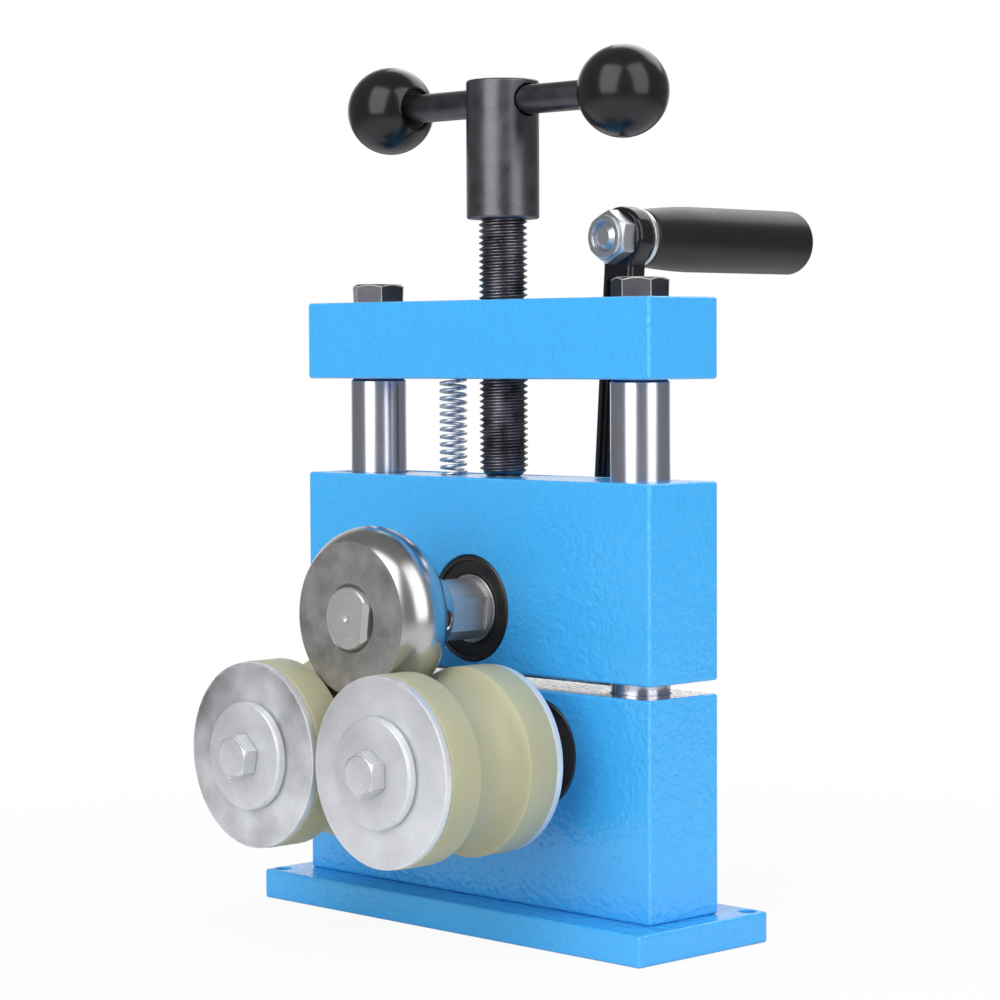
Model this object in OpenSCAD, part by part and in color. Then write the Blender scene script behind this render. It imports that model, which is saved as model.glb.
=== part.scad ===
// Bangle bending machine: a hand cranked bench machine with a convex steel roller above
// two grooved nylon rollers. A feed screw presses the upper block down along two posts.
// Millimetres, +X to the right, +Y to the back, +Z up. The origin is the centre of the
// base plate's underside, and the machine is drawn with its rollers closed.

/* [Base plate] */
// Width of the base plate, left to right
base_w = 177; // [170:1:210]
// Depth of the base plate, front to back
base_d = 60; // [54:1:80]
// Thickness of the base plate
base_t = 10; // [8:0.5:14]
// Diameter of the two bench holes
base_hole_d = 5.5; // [4:0.1:6]
// Distance of a bench hole's centre from the two nearest edges
base_hole_inset = 4.5; // [4:0.1:5.5]
// Thread of the countersunk screws that hold the lower block
base_screw_d = 6; // [4:0.5:8]
// Length of the countersunk screws
base_screw_l = 24; // [20:1:28]
// Distance between neighbouring countersunk screws
base_screw_pitch = 44; // [36:1:46]

/* [Blocks] */
// Width of the blocks and the crossbar
block_w = 160; // [154:1:168]
// Depth of the blocks and the crossbar
block_d = 32; // [30:1:44]
// Height of the lower block
lower_block_h = 70.2; // [66:0.2:90]
// Height of the upper block
upper_block_h = 63; // [58:0.5:80]
// Height of the crossbar
crossbar_h = 25.8; // [20:0.2:36]
// Gap between the two blocks with the rollers closed
block_gap = 4.2; // [2:0.1:7]
// Height between upper block and crossbar with the rollers closed
head_room = 32.2; // [28:0.2:42]
// Rounding of the painted edges
edge_r = 1; // [0.8:0.1:2.5]

/* [Guide posts] */
// Diameter of the guide posts
post_d = 19; // [16:0.5:20]
// Metal between a guide post and the bearing seat beside it
post_wall = 4.1; // [3:0.1:6]
// Depth of a guide post in the lower block
post_seat = 40; // [30:1:42]
// Depth of a guide post in the crossbar
post_recess = 6; // [4:0.5:9]
// Thread of the bolts on top of the crossbar
post_bolt_d = 10; // [8:0.5:11]
// Width across flats of the bolts on top of the crossbar
post_bolt_af = 16; // [15:0.5:18]
// Height of the bolt heads on top of the crossbar
post_bolt_head = 6.4; // [5:0.1:8]
// Length of thread in the post
post_bolt_grip = 20; // [14:1:26]

/* [Feed screw and handle] */
// Thread diameter of the feed screw
screw_d = 16; // [14:0.5:18]
// Chamfer at the lower end of the thread
screw_chamfer = 2.2; // [1:0.1:2.4]
// Diameter of the plain nose that turns in the upper block
nose_d = 11; // [9:0.1:11.4]
// Length of the plain nose
nose_l = 9; // [6:0.5:12]
// Thickness of the thrust pad under the nose
pad_t = 3; // [2:0.5:5]
// Diameter of the handle's hub
hub_d = 24; // [21:0.5:28]
// Height of the handle's hub
hub_h = 45.4; // [42:0.2:56]
// Height of the hub above the crossbar with the rollers closed
hub_lift = 26.6; // [24:0.2:40]
// Length of feed screw held in the hub
hub_grip = 26; // [20:0.5:30]
// Diameter of the cross bar
bar_d = 9.6; // [8:0.1:11]
// Depth of the cross bar's axis below the top of the hub
bar_drop = 6.9; // [6.6:0.1:10]
// Diameter of the ball knobs
ball_d = 29.5; // [26:0.5:34]
// Distance between the ball knobs' centres
ball_span = 108.6; // [90:0.2:130]
// Reach of the cross bar past a ball knob's centre
bar_reach = 5; // [2:0.5:8]

/* [Bearings] */
// Outside diameter of the ball bearings
bearing_od = 35; // [34:0.5:38]
// Bore of the ball bearings
bearing_bore = 17; // [15:0.1:17.4]
// Width of the ball bearings
bearing_w = 10; // [8:0.5:11]
// Metal between a bearing seat and the edge of its block
bearing_wall = 2.7; // [1.5:0.1:5]
// Diameter of the balls
bearing_ball_d = 4.76; // [4:0.02:5]
// Thickness of the outer and inner races
race_t = 2.8; // [2.4:0.05:2.9]
// Reach of a seal into the outer race
seal_lap = 1.2; // [0.6:0.1:1.4]
// Number of balls in a bearing
bearing_balls = 10; // [6:1:12]

/* [Bending roller and drive shaft] */
// Largest diameter of the bending roller's rim
crown_d = 57.8; // [54:0.2:60]
// Diameter of the bending roller's flat faces
crown_face_d = 48.8; // [44:0.2:50]
// Width of the bending roller's rim
crown_w = 19.3; // [16:0.1:22]
// Length of the hub behind the bending roller's rim
roller_hub_l = 14; // [11:0.5:17]
// Wall of the hub behind the bending roller's rim
roller_hub_wall = 3; // [2.5:0.1:5]
// Thread of the set screw in the hub
set_screw_d = 6.8; // [4:0.1:7.2]
// Distance of the set screw's axis from the end of the hub
set_screw_inset = 4.3; // [4:0.1:6]
// Diameter of the drive shaft in front of its bearings
neck_d = 20; // [18.5:0.1:21.5]
// How far the drive shaft stands out of the bending roller
shaft_proud = 1.5; // [0.8:0.1:2.5]
// Chamfer at the front end of the drive shaft
shaft_chamfer = 0.5; // [0.3:0.1:0.8]
// Chamfer at the front of the bending roller's bore
bore_chamfer = 1; // [0.4:0.1:1.5]
// Depth of the flat along the drive shaft
flat_depth = 1.5; // [0.8:0.1:2]
// Turn of the flat and its set screw below the level, in degrees
flat_turn = 7.5; // [0:0.5:20]
// Distance of the rollers' middle from the front of the blocks
roller_offset = 42.8; // [41:0.2:50]
// Gap between the bending roller and the nylon rollers when closed
nip_gap = 0.4; // [0.35:0.05:1.5]

/* [Nylon rollers] */
// Diameter of the nylon rollers' shoulders
nylon_d = 60; // [57:0.2:62]
// Width of the nylon rollers
nylon_w = 45; // [36:0.5:48]
// Gap between the two nylon rollers
roller_gap = 0.6; // [0.5:0.1:2]
// Diameter of the discs at both ends of a nylon roller
disc_d = 59.5; // [50:0.5:60]
// Thickness of the discs
disc_t = 2.5; // [1.5:0.1:4]
// Diameter of the thick washer
washer_d = 34.5; // [26:0.5:44]
// Thickness of the thick washer
washer_t = 3.5; // [2:0.1:5]
// Thread of the roller bolts
roller_bolt_d = 8; // [6:0.5:10]
// Width across flats of the roller bolts
roller_bolt_af = 13; // [12:0.5:17]
// Height of the roller bolts' heads
roller_bolt_head = 5.3; // [4:0.1:7]
// Diameter of the collar behind a nylon roller
collar_d = 21; // [19:0.1:22]
// Thickness of the circlips
circlip_t = 1; // [0.8:0.1:1.5]
// Radial width of the circlips
circlip_w = 2.6; // [2.2:0.1:3.2]

/* [Crank] */
// Distance from the drive shaft to the grip's axis
crank_len = 122.6; // [100:0.2:150]
// Lean of the crank to the right, in degrees
crank_lean = 3.4; // [0:0.1:30]
// Distance from the back of the blocks to the front of the crank arm
arm_offset = 31; // [28:0.5:45]
// Thickness of the crank arm
arm_t = 8.4; // [7:0.2:12]
// Width of the crank arm at its hub
arm_w_hub = 15.6; // [14:0.2:24]
// Width of the crank arm at its eye
arm_w_eye = 13.4; // [11:0.2:18]
// Depth of the channel along each face of the crank arm
channel_depth = 2; // [1:0.1:2.6]
// Width of the rib on each side of the channel
channel_rib = 3; // [2:0.1:3.6]
// Diameter of the crank's hub
crank_hub_d = 28; // [25:0.5:34]
// Length of the crank's hub behind the crank arm
crank_hub_proud = 1.5; // [0.5:0.1:4]
// Diameter of the crank's eye
eye_d = 21; // [18:0.5:26]
// Length of the spacer between bearing and crank
spacer_l = 10; // [6:0.5:14]
// Wall of the spacer
spacer_wall = 2.5; // [1.5:0.1:2.8]
// Diameter of the cross pin through the crank's hub
crank_pin_d = 5; // [3:0.5:6]

/* [Crank grip] */
// Length of the grip
grip_l = 80.5; // [70:0.5:110]
// Largest diameter of the grip
grip_d = 22.6; // [20:0.2:30]
// Diameter of the grip's end at the crank arm
grip_neck_d = 19.4; // [16.6:0.2:20]
// Rounding of the grip's far end
grip_end_r = 2.5; // [2:0.5:7]
// Diameter of the spindle that the grip turns on
spindle_d = 10; // [7:0.1:11]
// Diameter of the washer beside the grip
grip_washer_d = 20; // [17:0.5:24]
// Thickness of the washer beside the grip
grip_washer_t = 2; // [1:0.1:3]
// Width across flats of the spindle's nut
nut_af = 16; // [15:0.5:18]
// Height of the spindle's nut
nut_h = 7; // [6:0.5:11]
// Height of the round collar on the spindle's nut
nut_collar_h = 1.4; // [1:0.1:2.5]

/* [Return spring] */
// Outside diameter of the return spring
spring_od = 9.4; // [8:0.1:11]
// Wire diameter of the return spring
spring_wire = 1.2; // [0.8:0.05:1.4]
// Number of turns of the return spring
spring_turns = 16; // [8:1:18]
// Distance of the return spring from the feed screw
spring_x = 24.2; // [18:0.2:32]
// Depth of the spring's pockets in the upper block and the crossbar
spring_pocket = 8; // [5:0.5:12]

/* [Hidden] */
$fn = 64;
// Radial clearance of pieces that stay together
fit_gap = 0.04;
// Radial clearance of pieces that turn or slide in each other
run_gap = 0.08;
// Clearance between pieces that pass each other
pass_gap = 0.3;
// Overlap of a cutting tool past the face that it cuts
cut = 1;
// Chamfer on turned pieces
chamfer = 0.8;
// Depth of a threaded hole past the end of its bolt
thread_run_out = 2;

base_screw_head_d = 2 * base_screw_d;
base_screw_sink = 0.6;

front_y = -block_d / 2;
back_y = block_d / 2;
lower_bottom_z = base_t;
lower_top_z = lower_bottom_z + lower_block_h;
upper_bottom_z = lower_top_z + block_gap;
upper_top_z = upper_bottom_z + upper_block_h;
crossbar_z = upper_top_z + head_room;
crossbar_top_z = crossbar_z + crossbar_h;

axis_inset = bearing_od / 2 + bearing_wall;
lower_axis_z = lower_top_z - axis_inset;
upper_axis_z = upper_bottom_z + axis_inset;
lower_axis_x = (nylon_d + roller_gap) / 2;
axis_distance = norm([lower_axis_x, upper_axis_z - lower_axis_z]);
post_x = lower_axis_x + bearing_od / 2 + post_wall + post_d / 2;
post_bolt_turn = 5;

roller_y = front_y - roller_offset;
crown_rise = (crown_d - crown_face_d) / 2;
crown_arc_r = (pow(crown_w / 2, 2) + pow(crown_rise, 2)) / (2 * crown_rise);
crown_arc_at = crown_d / 2 - crown_arc_r;
groove_arc_r = crown_arc_r + nip_gap;
groove_arc_at = axis_distance - crown_arc_at;

journal_d = bearing_bore - 2 * fit_gap;
pitch_r = (bearing_od + bearing_bore) / 4;
inner_race_r = bearing_bore / 2 + race_t;
outer_race_r = bearing_od / 2 - race_t;
race_groove_r = bearing_ball_d / 2 + pass_gap;
seal_t = 0.8;
seal_inset = 0.4;

nylon_front_y = roller_y - nylon_w / 2;
nylon_back_y = roller_y + nylon_w / 2;
disc_front_y = nylon_front_y - disc_t;
washer_front_y = disc_front_y - washer_t;
collar_front_y = nylon_back_y + disc_t;
circlip_y = back_y + fit_gap;
circlip_groove_d = journal_d - circlip_t;
roller_bolt_l = 3 * roller_bolt_d + washer_t;

crown_front_y = roller_y - crown_w / 2;
crown_back_y = roller_y + crown_w / 2;
roller_hub_d = neck_d + 2 * (fit_gap + roller_hub_wall);
flat_x = neck_d / 2 - flat_depth;
set_screw_sink = 1.4;

arm_front_y = back_y + arm_offset;
arm_back_y = arm_front_y + arm_t;
crank_hub_front_y = back_y + spacer_l;
crank_hub_back_y = arm_back_y + crank_hub_proud;
crank_pin_y = (crank_hub_front_y + arm_front_y) / 2;
grip_front_y = arm_back_y + grip_washer_t + pass_gap;
spindle_head_rim = 1.5;
spindle_head_d = spindle_d + 2 * spindle_head_rim;
spindle_head_l = 4;
spindle_recess = 7;

hub_bottom_z = crossbar_top_z + hub_lift;
hub_top_z = hub_bottom_z + hub_h;
bar_z = hub_top_z - bar_drop;
ball_flat = 1;
ball_mouth_gap = 1.6;

spring_r = (spring_od - spring_wire) / 2;
spring_pocket_d = spring_od + 4 * pass_gap;
spring_bottom_z = upper_top_z - spring_pocket;
spring_top_z = crossbar_z + spring_pocket;

// Shared shapes

// A piece built along +Z, laid along +Y with its start at the given point
module along_y(x, y, z) {
    translate([x, y, z]) rotate([-90, 0, 0]) children();
}

// A turned piece from an outline of radius and height
module turned(outline) {
    rotate_extrude() polygon(outline);
}

// A straight turned bar with both ends chamfered
module turned_bar(d, l, c = chamfer) {
    turned([[0, 0], [d / 2 - c, 0], [d / 2, c], [d / 2, l - c], [d / 2 - c, l], [0, l]]);
}

// A flat ring
module ring(outer_d, inner_d, h) {
    difference() {
        cylinder(d = outer_d, h = h);
        translate([0, 0, -cut]) cylinder(d = inner_d, h = h + 2 * cut);
    }
}

// A rectangle with round corners, centred
module round_rect(w, h, r) {
    square([w - 2 * r, h], center = true);
    square([w, h - 2 * r], center = true);
    for (x = [-1, 1], y = [-1, 1])
        translate([x * (w / 2 - r), y * (h / 2 - r)]) circle(r);
}

// A painted bar with every edge rounded, standing on z = 0
module painted_bar(w, d, h) {
    translate([0, 0, h / 2]) intersection() {
        linear_extrude(h + 2 * cut, center = true) round_rect(w, d, edge_r);
        rotate([90, 0, 0]) linear_extrude(d + 2 * cut, center = true) round_rect(w, h, edge_r);
        rotate([0, 90, 0]) linear_extrude(w + 2 * cut, center = true) round_rect(h, d, edge_r);
    }
}

// A hexagon head growing along +Z, with its outer corners turned off at 30 degrees
module hex_head(af, h) {
    corner_d = af / cos(30);
    crown_r = (af - chamfer) / 2;
    reach = crown_r + h / tan(30);
    intersection() {
        cylinder(d = corner_d, h = h, $fn = 6);
        cylinder(r1 = reach, r2 = crown_r, h = h);
    }
}

// A hexagon bolt with its head on the seat at z = 0 and its shank below
module hex_bolt(d, af, head, l) {
    hex_head(af, head);
    translate([0, 0, -l]) turned_bar(d, l);
}

// Bearing seats through a block at one axis, with a shoulder between the two bearings
module bearing_seats(x, z) {
    shoulder_d = bearing_od - 2 * race_t;
    along_y(x, front_y - cut, z) cylinder(d = shoulder_d, h = block_d + 2 * cut);
    along_y(x, front_y - cut, z) cylinder(d = bearing_od + 2 * fit_gap, h = bearing_w + cut);
    along_y(x, back_y - bearing_w, z) cylinder(d = bearing_od + 2 * fit_gap, h = bearing_w + cut);
}

// One piece of a bearing, at the front and at the back of a block
module both_bearings(x, z) {
    for (y = [front_y, back_y - bearing_w]) along_y(x, y, z) children();
}

// The ball groove in the races
module race_groove() {
    translate([0, 0, bearing_w / 2]) rotate_extrude() translate([pitch_r, 0]) circle(race_groove_r);
}

module outer_races(x, z) {
    recess = seal_inset + seal_t + fit_gap;
    color("silver") both_bearings(x, z) difference() {
        ring(bearing_od, 2 * outer_race_r, bearing_w);
        race_groove();
        for (h = [-cut, bearing_w - recess])
            translate([0, 0, h]) cylinder(r = outer_race_r + seal_lap, h = recess + cut);
    }
}

module inner_races(x, z) {
    color("silver") both_bearings(x, z) difference() {
        ring(2 * inner_race_r, bearing_bore, bearing_w);
        race_groove();
    }
}

module seals(x, z) {
    color("#202022") both_bearings(x, z)
        for (h = [seal_inset, bearing_w - seal_inset - seal_t])
            translate([0, 0, h])
                ring(2 * (outer_race_r + seal_lap - fit_gap), 2 * (inner_race_r + pass_gap), seal_t);
}

module balls(x, z) {
    color("gainsboro") both_bearings(x, z)
        for (i = [0 : bearing_balls - 1])
            rotate(i * 360 / bearing_balls) translate([pitch_r, 0, bearing_w / 2])
                sphere(d = bearing_ball_d);
}

// Frame

module base_plate() {
    hole_x = base_w / 2 - base_hole_inset;
    hole_y = base_d / 2 - base_hole_inset;
    color("#3da6ee") difference() {
        painted_bar(base_w, base_d, base_t);
        for (side = [-1, 1])
            translate([side * hole_x, side * hole_y, -cut])
                cylinder(d = base_hole_d, h = base_t + 2 * cut);
        at_base_screws() base_screw_hole();
    }
}

// The four places of the countersunk screws
module at_base_screws() {
    for (i = [-1.5 : 1.5]) translate([i * base_screw_pitch, 0, 0]) children();
}

module base_screw_hole() {
    gap = fit_gap;
    translate([0, 0, -cut]) cylinder(d = base_screw_d + 2 * gap, h = base_screw_l + cut + gap);
    translate([0, 0, -cut]) cylinder(d = base_screw_head_d + 2 * gap, h = base_screw_sink + cut);
    translate([0, 0, base_screw_sink])
        cylinder(d1 = base_screw_head_d + 2 * gap, d2 = base_screw_d + 2 * gap, h = base_screw_d / 2);
}

module base_screws() {
    socket_af = base_screw_d * 2 / 3;
    color("#8d9094") at_base_screws() difference() {
        union() {
            translate([0, 0, base_screw_sink])
                cylinder(d1 = base_screw_head_d, d2 = base_screw_d, h = base_screw_d / 2);
            translate([0, 0, base_screw_sink]) turned_bar(base_screw_d, base_screw_l - base_screw_sink);
        }
        translate([0, 0, base_screw_sink - cut])
            cylinder(d = socket_af / cos(30), h = base_screw_d / 2 + cut, $fn = 6);
    }
}

module lower_block() {
    color("#3da6ee") difference() {
        translate([0, 0, lower_bottom_z]) painted_bar(block_w, block_d, lower_block_h);
        for (side = [-1, 1]) {
            bearing_seats(side * lower_axis_x, lower_axis_z);
            translate([side * post_x, 0, lower_top_z - post_seat])
                cylinder(d = post_d + 2 * fit_gap, h = post_seat + cut);
        }
        at_base_screws() base_screw_hole();
    }
}

module guide_post(side) {
    bottom_z = lower_top_z - post_seat;
    length = crossbar_z + post_recess - bottom_z;
    hole_l = post_bolt_grip + thread_run_out;
    color("#d6dade") translate([side * post_x, 0, bottom_z]) difference() {
        turned_bar(post_d, length);
        translate([0, 0, length - hole_l])
            cylinder(d = post_bolt_d + 2 * fit_gap, h = hole_l + cut);
    }
}

module crossbar() {
    color("#3da6ee") difference() {
        translate([0, 0, crossbar_z]) painted_bar(block_w, block_d, crossbar_h);
        translate([0, 0, crossbar_z - cut]) cylinder(d = screw_d + 2 * run_gap, h = crossbar_h + 2 * cut);
        for (side = [-1, 1]) translate([side * post_x, 0, crossbar_z - cut]) {
            cylinder(d = post_d + 2 * fit_gap, h = post_recess + cut);
            cylinder(d = post_bolt_d + 2 * pass_gap, h = crossbar_h + 2 * cut);
        }
        translate([-spring_x, 0, crossbar_z - cut]) cylinder(d = spring_pocket_d, h = spring_pocket + cut);
    }
}

module post_bolts() {
    color("#2a2b2e") for (side = [-1, 1]) translate([side * post_x, 0, crossbar_top_z])
        rotate(30 + side * post_bolt_turn)
            hex_bolt(post_bolt_d, post_bolt_af, post_bolt_head, crossbar_h - post_recess + post_bolt_grip);
}

// Return spring: the wire's centre line is laid out flat, as distance round the coil and height,
// and then rolled up. Each end is a straight leg, a bend, and then the steady turns.

spring_rings = 8;
spring_sides = 6;
spring_leg = spring_wire;
spring_bend_r = 2 * spring_wire;
spring_round = 2 * PI * spring_r;
spring_rise = spring_top_z - spring_bottom_z - 2 * (spring_leg + spring_bend_r);
spring_end = [
    [0, 0],
    [0, spring_leg],
    for (a = [30 : 30 : 90]) [spring_bend_r * (1 - cos(a)), spring_leg + spring_bend_r * sin(a)]
];
spring_run = spring_turns * spring_round;
spring_flat = [
    for (p = spring_end) [p[0] - spring_bend_r, spring_bottom_z + p[1]],
    for (i = [1 : spring_turns * spring_rings - 1])
        [i / spring_rings * spring_round,
         spring_bottom_z + spring_leg + spring_bend_r + i / (spring_turns * spring_rings) * spring_rise],
    for (i = [len(spring_end) - 1 : -1 : 0])
        [spring_run + spring_bend_r - spring_end[i][0], spring_top_z - spring_end[i][1]]
];
function rolled(p) = let (a = p[0] / spring_r * 180 / PI)
    [spring_r * cos(a) - spring_x, spring_r * sin(a), p[1]];
spring_path = [for (p = spring_flat) rolled(p)];
spring_last = len(spring_path) - 1;
function unit(v) = v / norm(v);
function spring_heading(i) = i == 0 || i == spring_last ? [0, 0, 1]
    : unit(unit(spring_path[i + 1] - spring_path[i]) + unit(spring_path[i] - spring_path[i - 1]));
function spring_ring(i) = let (
        heading = spring_heading(i),
        outward = unit([spring_path[i][0] + spring_x, spring_path[i][1], 0]),
        across = unit(cross(heading, outward)),
        out = cross(across, heading)
    ) [for (k = [0 : spring_sides - 1]) let (a = k * 360 / spring_sides)
        spring_path[i] + spring_wire / 2 * (cos(a) * out + sin(a) * across)];

// The least gap of the wire to itself, between points at least half a turn apart
spring_gap = min([for (i = [0 : spring_last], j = [i + 1 : 1 : spring_last])
    if (spring_flat[j][0] - spring_flat[i][0] > spring_round / 2)
        norm(spring_path[i] - spring_path[j])]) - spring_wire;
echo(return_spring_least_gap = spring_gap);

module return_spring() {
    points = [for (i = [0 : spring_last]) each spring_ring(i)];
    walls = [for (i = [0 : spring_last - 1], k = [0 : spring_sides - 1])
        let (a = i * spring_sides + k, b = i * spring_sides + (k + 1) % spring_sides)
        each [[a, a + spring_sides, b], [b, a + spring_sides, b + spring_sides]]];
    last = spring_last * spring_sides;
    caps = [for (k = [1 : spring_sides - 2])
        each [[0, k, k + 1], [last, last + k + 1, last + k]]];
    color("#c9ccd0") polyhedron(points, concat(walls, caps));
}

// Head

module upper_block() {
    color("#3da6ee") difference() {
        translate([0, 0, upper_bottom_z]) painted_bar(block_w, block_d, upper_block_h);
        bearing_seats(0, upper_axis_z);
        for (side = [-1, 1]) translate([side * post_x, 0, upper_bottom_z - cut])
            cylinder(d = post_d + 2 * run_gap, h = upper_block_h + 2 * cut);
        translate([0, 0, upper_top_z - nose_l - pad_t])
            cylinder(d = nose_d + 2 * run_gap, h = nose_l + pad_t + cut);
        translate([-spring_x, 0, spring_bottom_z]) cylinder(d = spring_pocket_d, h = spring_pocket + cut);
    }
}

module thrust_pad() {
    color("#b98d4f") translate([0, 0, upper_top_z - nose_l - pad_t]) cylinder(d = nose_d, h = pad_t);
}

// Feed screw and handle

module feed_screw() {
    tip_z = upper_top_z + pass_gap;
    top_z = hub_bottom_z + hub_grip;
    color("#2a2b2e") turned([
        [0, upper_top_z - nose_l + fit_gap],
        [nose_d / 2, upper_top_z - nose_l + fit_gap],
        [nose_d / 2, tip_z],
        [screw_d / 2 - screw_chamfer, tip_z],
        [screw_d / 2, tip_z + screw_chamfer],
        [screw_d / 2, top_z],
        [0, top_z]
    ]);
}

module handle_hub() {
    color("#2a2b2e") difference() {
        translate([0, 0, hub_bottom_z]) turned_bar(hub_d, hub_h);
        translate([0, 0, hub_bottom_z - cut]) cylinder(d = screw_d + 2 * fit_gap, h = hub_grip + cut);
        translate([-hub_d, 0, bar_z]) rotate([0, 90, 0]) cylinder(d = bar_d + 2 * fit_gap, h = 2 * hub_d);
    }
}

module handle_bar() {
    length = ball_span + 2 * bar_reach;
    color("#2a2b2e") translate([-length / 2, 0, bar_z]) rotate([0, 90, 0]) turned_bar(bar_d, length);
}

module ball_knob(side) {
    mouth = ball_d / 2 - ball_flat;
    mouth_d = bar_d + 2 * ball_mouth_gap;
    color("#17171a") translate([side * ball_span / 2, 0, bar_z]) rotate([0, side * 90, 0]) difference() {
        sphere(d = ball_d);
        translate([0, 0, -ball_d]) cylinder(d = ball_d, h = ball_d - mouth);
        translate([0, 0, -ball_d]) cylinder(d = mouth_d, h = ball_d - mouth + ball_mouth_gap);
        translate([0, 0, -ball_d]) cylinder(d = bar_d + 2 * fit_gap, h = ball_d + bar_reach + fit_gap);
    }
}

// Drive shaft, bending roller and crank

// A piece drawn in the drive shaft's own frame, where its flat faces +X
module on_flat() {
    translate([0, 0, upper_axis_z]) rotate([0, flat_turn, 0]) children();
}

module drive_shaft() {
    front = crown_front_y - shaft_proud;
    length = crank_hub_back_y - front;
    neck_l = front_y - front;
    color("#b9bdc2") difference() {
        along_y(0, front, upper_axis_z) turned([
            [0, 0],
            [neck_d / 2 - shaft_chamfer, 0],
            [neck_d / 2, shaft_chamfer],
            [neck_d / 2, neck_l],
            [journal_d / 2, neck_l],
            [journal_d / 2, length - chamfer],
            [journal_d / 2 - chamfer, length],
            [0, length]
        ]);
        on_flat() {
            translate([flat_x, front - cut, -neck_d]) cube([neck_d, neck_l + cut - pass_gap, 2 * neck_d]);
            translate([flat_x, crown_front_y, 0]) rotate(-45)
                translate([0, -neck_d, -neck_d]) cube(2 * neck_d);
        }
        crank_pin_shape(crank_pin_d + 2 * fit_gap, crank_hub_d);
    }
}

module bending_roller() {
    hub_back_y = crown_back_y + roller_hub_l;
    color("#9a9da1") difference() {
        union() {
            along_y(0, crown_front_y, upper_axis_z) cylinder(r = crown_arc_at, h = crown_w);
            along_y(0, crown_front_y, upper_axis_z) intersection() {
                translate([0, 0, crown_w / 2]) rotate_extrude()
                    translate([crown_arc_at, 0]) circle(crown_arc_r);
                cylinder(d = crown_d + 2 * cut, h = crown_w);
            }
            along_y(0, crown_back_y, upper_axis_z) turned([
                [0, -cut],
                [roller_hub_d / 2, -cut],
                [roller_hub_d / 2, roller_hub_l - chamfer],
                [roller_hub_d / 2 - chamfer, roller_hub_l],
                [0, roller_hub_l]
            ]);
        }
        along_y(0, crown_front_y - cut, upper_axis_z)
            cylinder(d = neck_d + 2 * fit_gap, h = hub_back_y - crown_front_y + 2 * cut);
        along_y(0, crown_front_y - cut, upper_axis_z)
            cylinder(r1 = neck_d / 2 + bore_chamfer + cut, r2 = neck_d / 2, h = bore_chamfer + cut);
        set_screw_shape(set_screw_d + 2 * fit_gap, 0, roller_hub_d);
    }
}

// A round or many-sided bar at the set screw's place, between two distances from the shaft's axis
module set_screw_shape(d, start, end, sides = $fn) {
    on_flat() translate([start, crown_back_y + roller_hub_l - set_screw_inset, 0])
        rotate([0, 90, 0]) cylinder(d = d, h = end - start, $fn = sides);
}

module roller_set_screw() {
    end = roller_hub_d / 2 - set_screw_sink;
    color("#2a2b2e") difference() {
        set_screw_shape(set_screw_d, flat_x + fit_gap, end);
        set_screw_shape(set_screw_d / 2, end - set_screw_sink, end + cut, 6);
    }
}

module crank_spacer() {
    color("#b9bdc2") along_y(0, back_y, upper_axis_z)
        ring(bearing_bore + 2 * spacer_wall, bearing_bore, spacer_l);
}

// A piece in the crank's own frame: its hub on the origin and its eye straight above
module on_crank(y) {
    translate([0, y, upper_axis_z]) rotate([0, crank_lean, 0]) children();
}

// A piece built along +Z, laid along +Y on the grip's axis
module on_grip_axis(y) {
    on_crank(y) translate([0, 0, crank_len]) rotate([-90, 0, 0]) children();
}

// The arm's outline between two distances from the hub, narrowed by a rib on each side
module arm_outline(from, to, rib) {
    function half_w(h) = (arm_w_hub + (arm_w_eye - arm_w_hub) * h / crank_len) / 2 - rib;
    polygon([[-half_w(from), from], [half_w(from), from], [half_w(to), to], [-half_w(to), to]]);
}

// A flat shape drawn with +Y away from the hub, as a plate of thickness t behind y
module arm_plate(y, t) {
    on_crank(y) translate([0, t, 0]) rotate([90, 0, 0]) linear_extrude(t) children();
}

module crank_arm() {
    hub_l = crank_hub_back_y - crank_hub_front_y;
    channel_from = crank_hub_d / 2 + channel_rib;
    channel_to = crank_len - eye_d / 2 - channel_rib;
    color("#151517") difference() {
        union() {
            arm_plate(arm_front_y, arm_t) {
                arm_outline(0, crank_len, 0);
                translate([0, crank_len]) circle(d = eye_d);
            }
            along_y(0, crank_hub_front_y, upper_axis_z) turned_bar(crank_hub_d, hub_l);
        }
        for (y = [arm_front_y - cut, arm_back_y - channel_depth])
            arm_plate(y, channel_depth + cut) arm_outline(channel_from, channel_to, channel_rib);
        on_grip_axis(arm_front_y - cut) cylinder(d = spindle_d + 2 * fit_gap, h = arm_t + 2 * cut);
        along_y(0, crank_hub_front_y - cut, upper_axis_z) cylinder(d = bearing_bore, h = hub_l + 2 * cut);
        crank_pin_shape(crank_pin_d + 2 * fit_gap, crank_hub_d + 2 * cut);
    }
}

// A round bar across the crank's hub, square to the arm
module crank_pin_shape(d, l) {
    on_crank(crank_pin_y) translate([-l / 2, 0, 0]) rotate([0, 90, 0]) cylinder(d = d, h = l);
}

module crank_pin() {
    color("#b9bdc2") crank_pin_shape(crank_pin_d, crank_hub_d - 1);
}

module grip_spindle() {
    start_y = arm_front_y - nut_h;
    head_y = grip_front_y + grip_l - spindle_recess;
    shank_l = head_y - start_y;
    color("#c9ccd0") on_grip_axis(start_y) turned([
        [0, 0],
        [spindle_d / 2 - chamfer, 0],
        [spindle_d / 2, chamfer],
        [spindle_d / 2, shank_l],
        [spindle_head_d / 2, shank_l],
        [spindle_head_d / 2, shank_l + spindle_head_l - chamfer],
        [spindle_head_d / 2 - chamfer, shank_l + spindle_head_l],
        [0, shank_l + spindle_head_l]
    ]);
}

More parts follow.
